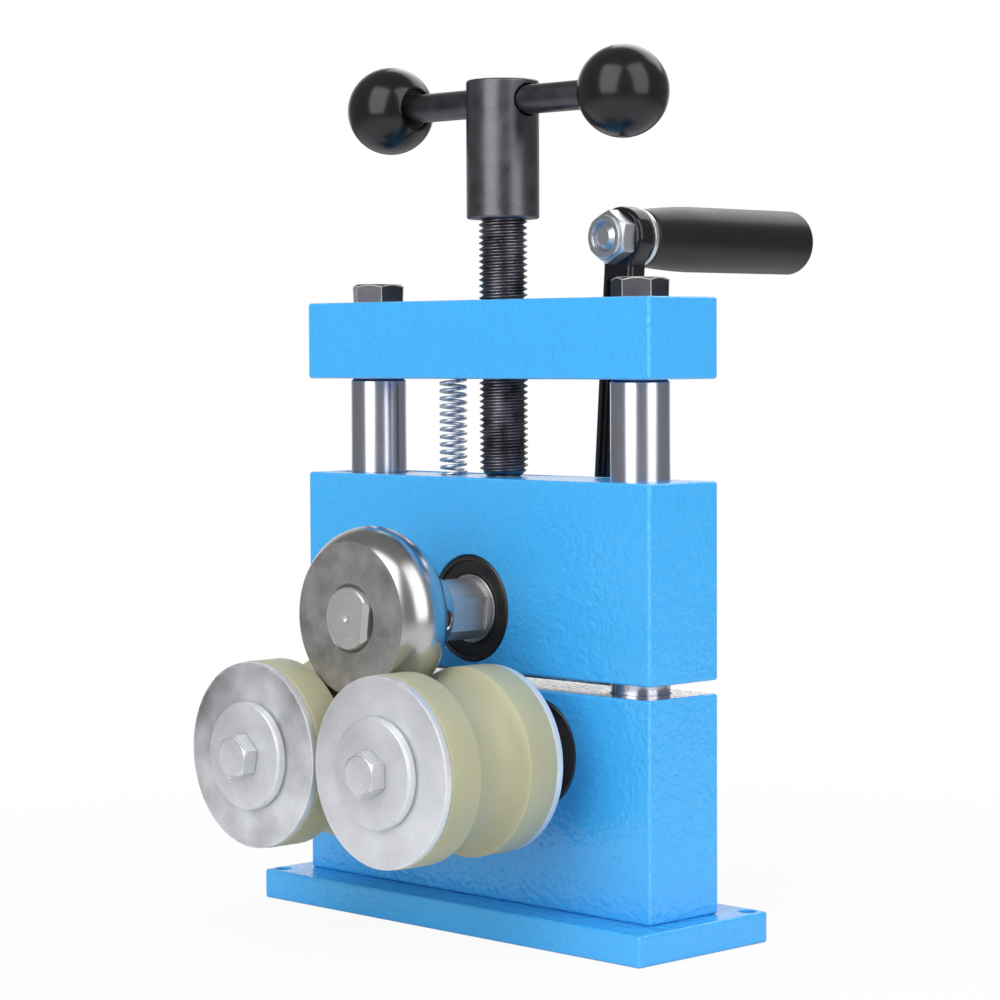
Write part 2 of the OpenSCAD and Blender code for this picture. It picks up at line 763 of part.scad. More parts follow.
module grip_nut() {
    hex_h = nut_h - nut_collar_h;
    collar_r = nut_af * 5 / 12;
    color("#c9ccd0") on_grip_axis(arm_front_y) difference() {
        union() {
            translate([0, 0, -nut_h]) turned([
                [0, 0],
                [collar_r - nut_collar_h / 2, 0],
                [collar_r, nut_collar_h / 2],
                [collar_r, nut_collar_h + cut],
                [0, nut_collar_h + cut]
            ]);
            rotate([180, 0, 0]) hex_head(nut_af, hex_h);
        }
        translate([0, 0, -nut_h - cut]) cylinder(d = spindle_d + 2 * fit_gap, h = nut_h + 2 * cut);
    }
}

module grip_washer() {
    color("#d6dade") on_grip_axis(arm_back_y) ring(grip_washer_d, spindle_d + 2 * fit_gap, grip_washer_t);
}

module crank_grip() {
    swell_to = grip_l / 3;
    steps = 8;
    neck_r = grip_neck_d / 2;
    full_r = grip_d / 2;
    end_h = grip_l - grip_end_r;
    swell = [for (i = [0 : steps]) let (t = i / steps)
        [neck_r + (full_r - neck_r) * sin(90 * t), swell_to * t]];
    rounding = [for (a = [0 : 15 : 90])
        [full_r - grip_end_r + grip_end_r * cos(a), end_h + grip_end_r * sin(a)]];
    color("#17171a") on_grip_axis(grip_front_y) difference() {
        turned(concat([[0, 0]], swell, rounding, [[0, grip_l]]));
        translate([0, 0, -cut]) cylinder(d = spindle_d + 2 * run_gap, h = grip_l + 2 * cut);
        translate([0, 0, grip_l - spindle_recess - pass_gap])
            cylinder(d = spindle_head_d + 2 * pass_gap, h = spindle_recess + pass_gap + cut);
    }
}

// Nylon rollers

// A piece built along +Z, laid along +Y on a nylon roller's axis
module on_lower_axis(side, y) {
    along_y(side * lower_axis_x, y, lower_axis_z) children();
}

module lower_shaft(side) {
    front = nylon_front_y - disc_t / 2;
    back = circlip_y + circlip_t + circlip_w;
    color("#b9bdc2") on_lower_axis(side, front) difference() {
        turned([
            [0, 0],
            [journal_d / 2, 0],
            [journal_d / 2, collar_front_y - front],
            [collar_d / 2, collar_front_y - front],
            [collar_d / 2, front_y - front],
            [journal_d / 2, front_y - front],
            [journal_d / 2, circlip_y - front],
            [circlip_groove_d / 2, circlip_y - front],
            [circlip_groove_d / 2, circlip_y + circlip_t - front],
            [journal_d / 2, circlip_y + circlip_t - front],
            [journal_d / 2, back - front - chamfer],
            [journal_d / 2 - chamfer, back - front],
            [0, back - front]
        ]);
        translate([0, 0, -cut]) cylinder(d = roller_bolt_d + 2 * fit_gap, h = roller_bolt_l + cut);
    }
}

module nylon_roller(side) {
    color("#bfc39a") on_lower_axis(side, nylon_front_y) difference() {
        turned_bar(nylon_d, nylon_w);
        translate([0, 0, nylon_w / 2]) rotate_extrude() translate([groove_arc_at, 0]) circle(groove_arc_r);
        translate([0, 0, -cut]) cylinder(d = bearing_bore, h = nylon_w + 2 * cut);
    }
}

module roller_disc(side, y) {
    color("#c4c7cb") on_lower_axis(side, y) difference() {
        turned_bar(disc_d, disc_t, disc_t / 6);
        translate([0, 0, -cut]) cylinder(d = bearing_bore, h = disc_t + 2 * cut);
    }
}

module thick_washer(side) {
    color("#c9ccd0") on_lower_axis(side, washer_front_y) difference() {
        turned([
            [0, 0],
            [washer_d / 2 - 2 * chamfer, 0],
            [washer_d / 2, 2 * chamfer],
            [washer_d / 2, washer_t],
            [0, washer_t]
        ]);
        translate([0, 0, -cut]) cylinder(d = roller_bolt_d + 2 * fit_gap, h = washer_t + 2 * cut);
    }
}

// The right bolt stands on a corner and the left one is turned a little further
module roller_bolt(side) {
    turn = side > 0 ? 30 : 42;
    color("#c9ccd0") on_lower_axis(side, washer_front_y) rotate([180, 0, turn])
        hex_bolt(roller_bolt_d, roller_bolt_af, roller_bolt_head, roller_bolt_l);
}

module circlip(side) {
    mouth = 2 * circlip_w;
    inner_d = circlip_groove_d + 2 * fit_gap;
    color("#2a2b2e") on_lower_axis(side, circlip_y) difference() {
        ring(inner_d + 2 * circlip_w, inner_d, circlip_t);
        translate([-mouth / 2, 0, -cut]) cube([mouth, bearing_od, circlip_t + 2 * cut]);
    }
}

// The assembly

base_plate();
base_screws();
lower_block();
guide_post(-1);  // guide_post_left
guide_post(1);  // guide_post_right
crossbar();
post_bolts();
return_spring();
outer_races(-lower_axis_x, lower_axis_z);  // left_outer_races
seals(-lower_axis_x, lower_axis_z);  // left_seals
balls(-lower_axis_x, lower_axis_z);  // left_balls
outer_races(lower_axis_x, lower_axis_z);  // right_outer_races
seals(lower_axis_x, lower_axis_z);  // right_seals
balls(lower_axis_x, lower_axis_z);  // right_balls
upper_block();
thrust_pad();
outer_races(0, upper_axis_z);  // upper_outer_races
seals(0, upper_axis_z);  // upper_seals
balls(0, upper_axis_z);  // upper_balls
feed_screw();
handle_hub();
handle_bar();
ball_knob(-1);  // ball_knob_left
ball_knob(1);  // ball_knob_right
drive_shaft();
bending_roller();
roller_set_screw();
inner_races(0, upper_axis_z);  // upper_inner_races
crank_spacer();
crank_arm();
crank_pin();
grip_spindle();
grip_nut();
grip_washer();
crank_grip();
lower_shaft(-1);  // left_shaft
nylon_roller(-1);  // left_roller
roller_disc(-1, disc_front_y);  // left_front_disc
roller_disc(-1, nylon_back_y);  // left_rear_disc
thick_washer(-1);  // left_washer
roller_bolt(-1);  // left_bolt
circlip(-1);  // left_circlip
inner_races(-lower_axis_x, lower_axis_z);  // left_inner_races
lower_shaft(1);  // right_shaft
nylon_roller(1);  // right_roller
roller_disc(1, disc_front_y);  // right_front_disc
roller_disc(1, nylon_back_y);  // right_rear_disc
thick_washer(1);  // right_washer
roller_bolt(1);  // right_bolt
circlip(1);  // right_circlip
inner_races(lower_axis_x, lower_axis_z);  // right_inner_races
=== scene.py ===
"""Looks of the bangle bending machine: detailed pieces, finishes, studio and camera.

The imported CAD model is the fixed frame. Sizes are written in millimetres, in the frame's own
axes, and become metres where a mesh is made.
"""

import logging
import math
from dataclasses import dataclass
from enum import Enum

import bpy
from mathutils import Matrix, Vector


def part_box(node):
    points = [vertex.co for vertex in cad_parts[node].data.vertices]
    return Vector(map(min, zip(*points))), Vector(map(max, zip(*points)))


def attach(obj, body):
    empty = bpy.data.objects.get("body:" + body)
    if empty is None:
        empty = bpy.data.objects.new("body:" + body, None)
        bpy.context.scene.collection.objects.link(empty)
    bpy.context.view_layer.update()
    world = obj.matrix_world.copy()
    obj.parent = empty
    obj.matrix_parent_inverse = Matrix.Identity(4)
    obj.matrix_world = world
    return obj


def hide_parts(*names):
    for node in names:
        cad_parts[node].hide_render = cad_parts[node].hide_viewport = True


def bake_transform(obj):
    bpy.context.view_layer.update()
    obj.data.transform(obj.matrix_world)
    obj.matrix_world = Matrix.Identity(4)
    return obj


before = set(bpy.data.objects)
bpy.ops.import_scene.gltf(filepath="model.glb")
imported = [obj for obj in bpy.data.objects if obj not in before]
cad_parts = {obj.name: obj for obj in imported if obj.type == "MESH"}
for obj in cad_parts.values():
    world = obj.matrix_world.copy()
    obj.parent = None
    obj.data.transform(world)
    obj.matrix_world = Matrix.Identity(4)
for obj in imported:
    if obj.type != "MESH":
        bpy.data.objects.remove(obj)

log = logging.getLogger("bangle_bender")

# Metres in a millimetre, and the distance in metres below which two points are one
MM = 0.001
MERGE = 1e-7
# How far a cutting shape runs past what it cuts, and a joined shape into the next one
LAP = 1.0
# The most of an edge that the rounding of one of its ends takes
HALF_EDGE = 0.49
# Slope of the turned corners of a hexagon, and the width of its worn edges
HEX_SLOPE = math.radians(30.0)
HEX_EDGE = 0.22
# How far short of an end the faces that belong to it may lie
END_SLACK = 0.1
# Height of the drive shaft's axis
DRIVE_Z = 104.6

Piece = bpy.types.Object
Material = bpy.types.Material
Nodes = bpy.types.NodeTree
Socket = bpy.types.NodeSocket
Outline = list[tuple[float, float]]
Corner = tuple[float, float, float]
Place = tuple[float, float, float]
Shade = tuple[float, float, float, float]


class Axis(Enum):
    """The way along which a turned piece lies."""

    X = (1.0, 0.0, 0.0)
    Y = (0.0, 1.0, 0.0)
    Z = (0.0, 0.0, 1.0)

    @property
    def along(self) -> Vector:
        """Direction of the axis."""
        return Vector(self.value)

    @property
    def outward(self) -> Vector:
        """Direction in which an outline's radius is drawn."""
        return Vector((1.0, 0.0, 0.0)) if self is Axis.Z else Vector((0.0, 0.0, 1.0))

    @property
    def from_z(self) -> Matrix:
        """Turn that lays a piece modelled along +Z on this axis."""
        return Vector((0.0, 0.0, 1.0)).rotation_difference(self.along).to_matrix().to_4x4()


class Side(Enum):
    """Left or right of the machine, seen from the rollers."""

    LEFT = -1
    RIGHT = 1

    @property
    def word(self) -> str:
        """Start of the CAD nodes' names on this side."""
        return self.name.lower()


# Modelling by hand


def let_go() -> None:
    """Leaves edit mode and deselects everything."""
    if bpy.context.object and bpy.context.object.mode != "OBJECT":
        bpy.ops.object.mode_set(mode="OBJECT")
    bpy.ops.object.select_all(action="DESELECT")


def pick(*pieces: Piece) -> None:
    """Selects only the given pieces and makes the first one active.

    Args:
        pieces: the pieces.
    """
    let_go()
    for piece in pieces:
        piece.select_set(True)
    bpy.context.view_layer.objects.active = pieces[0]


def edit_all(piece: Piece) -> None:
    """Opens a piece in edit mode with all of it selected.

    Args:
        piece: the piece.
    """
    pick(piece)
    bpy.ops.object.mode_set(mode="EDIT")
    bpy.ops.mesh.select_all(action="SELECT")


def close_up() -> None:
    """Merges doubles and points every face outwards, in edit mode."""
    bpy.ops.mesh.select_all(action="SELECT")
    bpy.ops.mesh.remove_doubles(threshold=MERGE)
    bpy.ops.mesh.normals_make_consistent(inside=False)


def smooth(piece: Piece, degrees: float = 32.0) -> None:
    """Shades a piece smooth, with a crease where faces meet at more than the given angle."""
    pick(piece)
    bpy.ops.object.shade_smooth_by_angle(angle=math.radians(degrees))


def even_normals(piece: Piece) -> None:
    """Lets the large faces of a piece decide its shading, so that flats stay flat.

    Args:
        piece: the piece.
    """
    smooth(piece, degrees=40.0)
    modifier = piece.modifiers.new("even", "WEIGHTED_NORMAL")
    modifier.keep_sharp = True
    bpy.ops.object.modifier_apply(modifier=modifier.name)


def rounded(corners: list[Corner], closed: bool = False, steps: int = 4) -> Outline:
    """Rounds the corners of an outline.

    Args:
        corners: radius from the axis, place along it and rounding, for each corner.
        closed: whether the outline runs back to its first corner.
        steps: number of edges in each rounding.

    Returns:
        The outline's points, with the first one repeated at the end of a closed outline.
    """
    count = len(corners)
    points: Outline = []
    for i, (r, h, size) in enumerate(corners):
        here = Vector((r, h))
        if size <= 0.0 or (not closed and i in (0, count - 1)):
            points.append((r, h))
            continue
        before = Vector(corners[i - 1][:2]) - here
        after = Vector(corners[(i + 1) % count][:2]) - here
        half = before.angle(after) / 2
        reach = min(size / math.tan(half), before.length * HALF_EDGE, after.length * HALF_EDGE)
        start = before.normalized() * reach
        end = after.normalized() * reach
        middle = (start + end).normalized() * (reach / math.cos(half))
        spoke = start - middle
        for k in range(steps + 1):
            point = here + middle + spoke.slerp(end - middle, k / steps) * spoke.length
            points.append((point.x, point.y))
    return points + points[:1] if closed else points


def arc(center: tuple[float, float], radius: float, start: float, end: float, steps: int) -> Outline:
    """Points along an arc, between two angles in degrees from the outward direction."""
    angles = [math.radians(start + (end - start) * k / steps) for k in range(steps + 1)]
    return [(center[0] + radius * math.cos(a), center[1] + radius * math.sin(a)) for a in angles]


def draw_chain(name: str, points: list[Vector]) -> Piece:
    """Draws a chain of edges from one vertex and stays in edit mode.

    Args:
        name: the new piece's name.
        points: the chain's points, in metres.

    Returns:
        The new piece, at the origin.
    """
    let_go()
    bpy.ops.mesh.primitive_plane_add(size=MM)
    piece = bpy.context.object
    piece.name = name
    bpy.ops.object.mode_set(mode="EDIT")
    bpy.ops.mesh.select_all(action="SELECT")
    bpy.ops.mesh.merge(type="CENTER")
    bpy.ops.transform.translate(value=points[0])
    for here, there in zip(points, points[1:]):
        bpy.ops.mesh.extrude_region_move(TRANSFORM_OT_translate={"value": there - here})
    return piece


@dataclass(frozen=True)
class Lathe:
    """An axis that pieces are turned round, with a point on it from which places along it are counted."""

    at: Vector
    axis: Axis

    def turn(self, name: str, outline: Outline, steps: int = 72) -> Piece:
        """Turns an outline.

        Args:
            name: the new piece's name.
            outline: radius and place along the axis of each point.
            steps: number of faces round the piece.

        Returns:
            The turned piece.
        """
        along, outward = self.axis.along, self.axis.outward
        piece = draw_chain(name, [(self.at + along * h + outward * r) * MM for r, h in outline])
        bpy.ops.mesh.select_all(action="SELECT")
        bpy.ops.mesh.spin(steps=steps, angle=math.tau, center=self.at * MM, axis=along)
        close_up()
        smooth(piece)
        return piece

    def bar(self, name: str, d: float, start: float, end: float, rounding: float = 0.0,
            steps: int = 72) -> Piece:
        """Turns a plain bar.

        Args:
            name: the new piece's name.
            d: diameter.
            start: where the bar starts along the axis.
            end: where it ends.
            rounding: rounding of both end edges.
            steps: number of faces round the bar.

        Returns:
            The bar.
        """
        r = d / 2
        corners = [(0.0, start, 0.0), (r, start, rounding), (r, end, rounding), (0.0, end, 0.0)]
        return self.turn(name, rounded(corners), steps)

    def ring(self, name: str, outer_d: float, inner_d: float, start: float, end: float, rounding: float,
             steps: int = 72) -> Piece:
        """Turns a flat ring with all four edges rounded.

        Args:
            name: the new piece's name.
            outer_d: outside diameter.
            inner_d: diameter of the hole.
            start: where the ring starts along the axis.
            end: where it ends.
            rounding: rounding of the edges.
            steps: number of faces round the ring.

        Returns:
            The ring.
        """
        corners = [(d / 2, h, rounding) for d, h in
                   ((inner_d, start), (outer_d, start), (outer_d, end), (inner_d, end))]
        return self.turn(name, rounded(corners, closed=True), steps)

    def bore(self, d: float, face: float, end: float, flare: float = 0.3) -> Piece:
        """Turns the cutting shape for a hole, which flares at its mouth and stands out of it.

        Args:
            d: the hole's diameter.
            face: where its mouth is along the axis.
            end: where it ends.
            flare: width of the flare.

        Returns:
            The cutting shape.
        """
        out = math.copysign(1.0, face - end)
        r, top = d / 2, face + out * LAP
        return self.turn("bore", [(0.0, top), (r + flare, top), (r + flare, face), (r, face - out * flare),
                                  (r, end), (0.0, end)])


def upright(x: float = 0.0) -> Lathe:
    """A lathe on an upright axis in the middle of the machine's depth."""
    return Lathe(Vector((x, 0.0, 0.0)), Axis.Z)


def rounded_box(name: str, low: Vector, high: Vector, rounding: float, steps: int = 4) -> Piece:
    """Shapes a cube into a box with rounded edges.

    Args:
        name: the new piece's name.
        low: lowest corner.
        high: highest corner.
        rounding: rounding of every edge.
        steps: number of faces across each rounding.

    Returns:
        The box.
    """
    let_go()
    bpy.ops.mesh.primitive_cube_add(size=1.0)
    piece = bpy.context.object
    piece.name = name
    bpy.ops.object.mode_set(mode="EDIT")
    bpy.ops.mesh.select_all(action="SELECT")
    bpy.ops.transform.resize(value=(high - low) * MM, center_override=(0.0, 0.0, 0.0))
    bpy.ops.transform.translate(value=(high + low) * MM / 2)
    bpy.ops.mesh.bevel(offset=rounding * MM, segments=steps, profile=0.5, affect="EDGES")
    bpy.ops.object.mode_set(mode="OBJECT")
    return piece


def settle(piece: Piece, move: Matrix) -> None:
    """Moves a piece and puts the move into its mesh.

    Args:
        piece: the piece.
        move: the move, in metres.
    """
    piece.matrix_world = move
    pick(piece)
    bpy.ops.object.transform_apply(location=True, rotation=True, scale=True)


def place(piece: Piece, at: Vector, toward: Vector, degrees: float = 0.0) -> None:
    """Moves a piece modelled at the origin along +Z to its place, and applies the move.

    Args:
        piece: the piece.
        at: where its origin goes.
        toward: the way its +Z goes.
        degrees: turn about its own axis, before it is laid down.
    """
    lay = Vector((0.0, 0.0, 1.0)).rotation_difference(toward).to_matrix().to_4x4()
    spin = Matrix.Rotation(math.radians(degrees), 4, "Z")
    settle(piece, Matrix.Translation(at * MM) @ lay @ spin)


def carve(piece: Piece, *tools: Piece, keep: str = "DIFFERENCE") -> None:
    """Cuts a piece with other shapes, which are then thrown away.

    Args:
        piece: the piece to cut.
        tools: the cutting shapes.
        keep: the boolean operation.
    """
    for tool in tools:
        modifier = piece.modifiers.new("carve", "BOOLEAN")
        modifier.object = tool
        modifier.operation = keep
        modifier.solver = "EXACT"
        pick(piece)
        bpy.ops.object.modifier_apply(modifier=modifier.name)
        bpy.data.objects.remove(tool)


def soften(piece: Piece, width: float, steps: int = 2, degrees: float = 40.0, slot: int = -1) -> None:
    """Bevels the sharp edges of a piece.

    Args:
        piece: the piece.
        width: width of the bevel.
        steps: number of faces across it.
        degrees: edges sharper than this are bevelled.
        slot: material slot of the bevel's faces, or -1 for that of the faces beside it.
    """
    modifier = piece.modifiers.new("soften", "BEVEL")
    modifier.width = width * MM
    modifier.segments = steps
    modifier.limit_method = "ANGLE"
    modifier.angle_limit = math.radians(degrees)
    modifier.use_clamp_overlap = True
    modifier.material = slot
    pick(piece)
    bpy.ops.object.modifier_apply(modifier=modifier.name)


def join(name: str, *pieces: Piece) -> Piece:
    """Joins pieces into one object of the given name.

    Args:
        name: the joined piece's name.
        pieces: the pieces; the first takes up the others.

    Returns:
        The joined piece.
    """
    pick(*pieces)
    if len(pieces) > 1:
        bpy.ops.object.join()
    pieces[0].name = name
    return pieces[0]


def hexagon(name: str, across: float, height: float, chamfer: float, *finishes: Material) -> Piece:
    """Shapes a hexagon head at the origin along +Z, with its outer corners turned off.

    Args:
        name: the new piece's name.
        across: width across flats.
        height: height of the head.
        chamfer: how far the turned top stays inside the flats.
        finishes: the finish of the head and that of its worn edges.

    Returns:
        The head, with its seat at z = 0.
    """
    let_go()
    bpy.ops.mesh.primitive_cylinder_add(vertices=6, radius=across / math.sqrt(3.0) * MM, depth=height * MM,
                                        location=(0.0, 0.0, height / 2 * MM))
    head = bpy.context.object
    head.name = name
    bpy.ops.object.transform_apply(location=True, rotation=True, scale=True)
    for finish in finishes:
        head.data.materials.append(finish)
    top_r = across / 2 - chamfer
    shoulder = height - (across - top_r) * math.tan(HEX_SLOPE)
    outline = [(0.0, -LAP), (across, -LAP), (across, shoulder), (top_r, height), (0.0, height)]
    carve(head, upright().turn("envelope", outline), keep="INTERSECT")
    soften(head, HEX_EDGE, degrees=20.0, slot=len(finishes) - 1)
    even_normals(head)
    return head


def fit(piece: Piece, finish: Material, body: str, node: str) -> Piece:
    """Gives a piece its finish, unless it has one, and puts it in the place of a CAD node.

    Args:
        piece: the finished piece.
        finish: its material.
        body: the CAD body that it moves with.
        node: the CAD node that it stands for.

    Returns:
        The piece.
    """
    if not piece.data.materials:
        piece.data.materials.append(finish)
    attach(piece, body)
    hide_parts(node)
    log.info("%s: %d faces on %s", piece.name, len(piece.data.polygons), body)
    return piece


def refinish(piece: Piece, finish: Material, toward: Vector, start: float, within: float) -> None:
    """Gives a second finish to the faces at one end of a piece.

    Args:
        piece: the piece, which has its first finish.
        finish: the second finish.
        toward: the way that the faces look.
        start: how far that way they lie at least.
        within: cosine of the most that they lean from it.
    """
    piece.data.materials.append(finish)
    for face in piece.data.polygons:
        if face.normal.dot(toward) > within and face.center.dot(toward) > start * MM:
            face.material_index = 1


# Finishes


def srgb(red: int, green: int, blue: int) -> Shade:
    """Turns a colour as read on a screen, 0 to 255, into Blender's linear colour.

    Args:
        red: its red.
        green: its green.
        blue: its blue.

    Returns:
        The linear colour.
    """
    shares = [value / 255 for value in (red, green, blue)]
    linear = [s / 12.92 if s <= 0.04045 else ((s + 0.055) / 1.055) ** 2.4 for s in shares]
    return (linear[0], linear[1], linear[2], 1.0)


class Tree:
    """Adds and links the nodes of one shader node tree."""

    def __init__(self, nodes: Nodes) -> None:
        """Keeps the node tree to fill."""
        self.tree = nodes

    def add(self, kind: str, inputs: dict | None = None, **settings: object) -> bpy.types.Node:
        """Adds a node.

        Args:
            kind: Blender's name of the node.
            inputs: what goes into its sockets; a socket is linked and any other value is set.
            settings: the node's own settings.

        Returns:
            The new node.
        """
        node = self.tree.nodes.new(kind)
        for key, value in settings.items():
            setattr(node, key, value)
        for key, value in (inputs or {}).items():
            self.feed(node.inputs[key], value)
        return node

    def feed(self, socket: Socket, value: object) -> None:
        """Links a socket to another one, or sets its value.

        Args:
            socket: the socket to feed.
            value: another socket, or a plain value.
        """
        if isinstance(value, Socket):
            self.tree.links.new(value, socket)
        else:
            socket.default_value = value

    def math(self, operation: str, first: object, second: object = 0.0) -> Socket:
        """Result of an operation on one or two numbers."""
        return self.add("ShaderNodeMath", {0: first, 1: second}, operation=operation).outputs[0]

    def vector(self, operation: str, first: object, second: object = (0.0, 0.0, 0.0)) -> Socket:
        """Result of an operation on one or two vectors."""
        return self.add("ShaderNodeVectorMath", {0: first, 1: second}, operation=operation).outputs[0]

    def noise(self, vector: object, scale: object, detail: float = 2.0) -> Socket:
        """Cloudy values between 0 and 1, with so many clouds in a metre."""
        inputs = {"Vector": vector, "Scale": scale, "Detail": detail}
        return self.add("ShaderNodeTexNoise", inputs).outputs[0]

    def length(self, vector: object) -> Socket:
        """Length of a vector."""
        return self.add("ShaderNodeVectorMath", {0: vector}, operation="LENGTH").outputs["Value"]

    def radius(self, vector: object) -> Socket:
        """Distance from the pattern's own Z axis."""
        return self.length(self.vector("MULTIPLY", vector, (1.0, 1.0, 0.0)))

    def spread(self, value: object, low: object, high: object, out_low: object = 0.0,
               out_high: object = 1.0) -> Socket:
        """Stretches a value from one range to another and keeps it there.

        Args:
            value: the value.
            low: start of its range.
            high: end of its range.
            out_low: what the start becomes.
            out_high: what the end becomes.

        Returns:
            The stretched value.
        """
        inputs = {"Value": value, "From Min": low, "From Max": high, "To Min": out_low, "To Max": out_high}
        return self.add("ShaderNodeMapRange", inputs).outputs[0]

    def mix(self, share: object, first: object, second: object) -> Socket:
        """Colour between two others."""
        return self.add("ShaderNodeMix", {0: share, 6: first, 7: second}, data_type="RGBA").outputs[2]

    def over(self, base: object, color: object, mask: object, share: float) -> Socket:
        """Lays a colour over another one.

        Args:
            base: the colour below.
            color: the colour on top.
            mask: where it lies.
            share: how much it covers where the mask is full.

        Returns:
            The mixed colour.
        """
        return self.mix(self.math("MULTIPLY", mask, share), base, color)

    def place_group(self, group: Nodes, **inputs: object) -> Socket:
        """Places a shared effect and gives its result."""
        return self.add("ShaderNodeGroup", inputs, node_tree=group).outputs[0]


class Effects:
    """Surface effects that several finishes share, each one a node group built once."""

    def __init__(self) -> None:
        """Builds every group."""
        self.tool_marks = self.make_tool_marks()
        self.mottle = self.make_mottle()
        self.peel = self.make_peel()
        self.specks = self.make_specks()
        self.edge_sheen = self.make_edge_sheen()
        self.rim_wear_and_sheen = self.make_rim_wear_and_sheen()

    @staticmethod
    def start(name: str, values: dict[str, float], vectors: list[str], result: str) -> tuple[
            Tree, bpy.types.bpy_prop_collection, Socket]:
        """Starts a group with its sockets.

        Args:
            name: the group's name.
            values: its number inputs and their usual values.
            vectors: its vector inputs.
            result: its output.

        Returns:
            The group's tree helper, its inputs by name, and the socket that takes the result.
        """
        group = bpy.data.node_groups.new(name, "ShaderNodeTree")
        for key in vectors:
            group.interface.new_socket(key, in_out="INPUT", socket_type="NodeSocketVector")
        for key, value in values.items():
            socket = group.interface.new_socket(key, in_out="INPUT", socket_type="NodeSocketFloat")
            socket.default_value = value
        group.interface.new_socket(result, in_out="OUTPUT", socket_type="NodeSocketFloat")
        tree = Tree(group)
        given = tree.add("NodeGroupInput").outputs
        return tree, given, tree.add("NodeGroupOutput").inputs[result]

    def make_tool_marks(self) -> Nodes:
        """Fine rings left by a lathe, round the pattern's own Z axis.

        Returns:
            The group.
        """
        tree, given, result = self.start("tool_marks", {"Rings": 2500.0}, ["Vector"], "Marks")
        height = tree.add("ShaderNodeSeparateXYZ", {0: given["Vector"]}).outputs[2]
        along = tree.math("ADD", tree.radius(given["Vector"]), height)
        inputs = {"W": along, "Scale": given["Rings"], "Detail": 3.0}
        lines = tree.add("ShaderNodeTexNoise", inputs, noise_dimensions="1D").outputs[0]
        drift = tree.math("MULTIPLY", tree.noise(given["Vector"], scale=90.0), 0.2)
        tree.feed(result, tree.math("ADD", tree.math("MULTIPLY", lines, 0.8), drift))
        return tree.tree

    def make_mottle(self) -> Nodes:
        """Soft clouds of stain or wear with a given contrast.

        Returns:
            The group.
        """
        tree, given, result = self.start("mottle", {"Scale": 120.0, "Contrast": 2.0}, ["Vector"], "Cloud")
        cloud = tree.noise(given["Vector"], given["Scale"], detail=6.0)
        reach = tree.math("DIVIDE", 0.5, given["Contrast"])
        low = tree.math("SUBTRACT", 0.5, reach)
        tree.feed(result, tree.spread(cloud, low, tree.math("ADD", 0.5, reach)))
        return tree.tree

    def make_peel(self) -> Nodes:
        """Slow waves and fine ripples of sprayed paint.

        Returns:
            The group.
        """
        tree, given, result = self.start("peel", {"Scale": 420.0}, ["Vector"], "Height")
        fine = tree.math("MULTIPLY", tree.noise(given["Vector"], given["Scale"], detail=1.0), 0.55)
        slow = tree.noise(given["Vector"], tree.math("MULTIPLY", given["Scale"], 0.28), detail=1.0)
        tree.feed(result, tree.math("ADD", fine, tree.math("MULTIPLY", slow, 0.45)))
        return tree.tree

    def make_specks(self) -> Nodes:
        """Small scattered spots; the amount is the share of the surface that they cover.

        Returns:
            The group.
        """
        tree, given, result = self.start("specks", {"Scale": 900.0, "Amount": 0.1}, ["Vector"], "Mask")
        spots = tree.noise(given["Vector"], given["Scale"], detail=3.0)
        edge = tree.spread(given["Amount"], 0.0, 1.0, out_low=0.78, out_high=0.3)
        tree.feed(result, tree.spread(spots, edge, tree.math("ADD", edge, 0.06)))
        return tree.tree

    def make_edge_sheen(self) -> Nodes:
        """Ragged band along the edges of a box with a given middle and half size; it places the paint's
        painted edge highlight.

        Returns:
            The group.
        """
        tree, given, result = self.start("edge_sheen", {"Width": 0.0015}, ["Vector", "Middle", "Half"], "Mask")
        offset = tree.vector("SUBTRACT", given["Vector"], given["Middle"])
        depth = tree.vector("SUBTRACT", given["Half"], tree.vector("ABSOLUTE", offset))
        x, y, z = tree.add("ShaderNodeSeparateXYZ", {0: depth}).outputs
        lowest = tree.math("MINIMUM", tree.math("MINIMUM", x, y), z)
        highest = tree.math("MAXIMUM", tree.math("MAXIMUM", x, y), z)
        total = tree.math("ADD", tree.math("ADD", x, y), z)
        second = tree.math("SUBTRACT", tree.math("SUBTRACT", total, lowest), highest)
        cloud = tree.noise(given["Vector"], scale=260.0, detail=4.0)
        ragged = tree.spread(cloud, 0.3, 0.7, out_low=0.3, out_high=1.5)
        reach = tree.math("MULTIPLY", given["Width"], ragged)
        tree.feed(result, tree.spread(second, 0.0, reach, out_low=1.0, out_high=0.0))
        return tree.tree

    def make_rim_wear_and_sheen(self) -> Nodes:
        """Ragged band along the rim of a turned piece with a given radius: worn metal and a painted
        highlight.

        Returns:
            The group.
        """
        tree, given, result = self.start("rim_wear_and_sheen", {"Radius": 0.03, "Width": 0.001}, ["Vector"], "Mask")
        cloud = tree.noise(given["Vector"], scale=420.0, detail=4.0)
        ragged = tree.spread(cloud, 0.35, 0.65, out_low=0.2, out_high=1.6)
        inner = tree.math("SUBTRACT", given["Radius"], tree.math("MULTIPLY", given["Width"], ragged))
        tree.feed(result, tree.spread(tree.radius(given["Vector"]), inner, given["Radius"]))
        return tree.tree


@dataclass(frozen=True)
class Pattern:
    """Where a finish's pattern sits: the axis it runs round and a point on it."""

    at: Place = (0.0, 0.0, 0.0)
    axis: Axis = Axis.Z

    def vector(self, tree: Tree) -> Socket:
        """Object coordinates, moved and turned so that the axis is the pattern's Z.

        Args:
            tree: the material's tree helper.

        Returns:
            The pattern's coordinates.
        """
        inputs = {
            "Vector": tree.add("ShaderNodeTexCoord").outputs["Object"],
            "Location": Vector(self.at) * MM,
            "Rotation": self.axis.from_z.to_euler(),
        }
        return tree.add("ShaderNodeMapping", inputs, vector_type="TEXTURE").outputs[0]


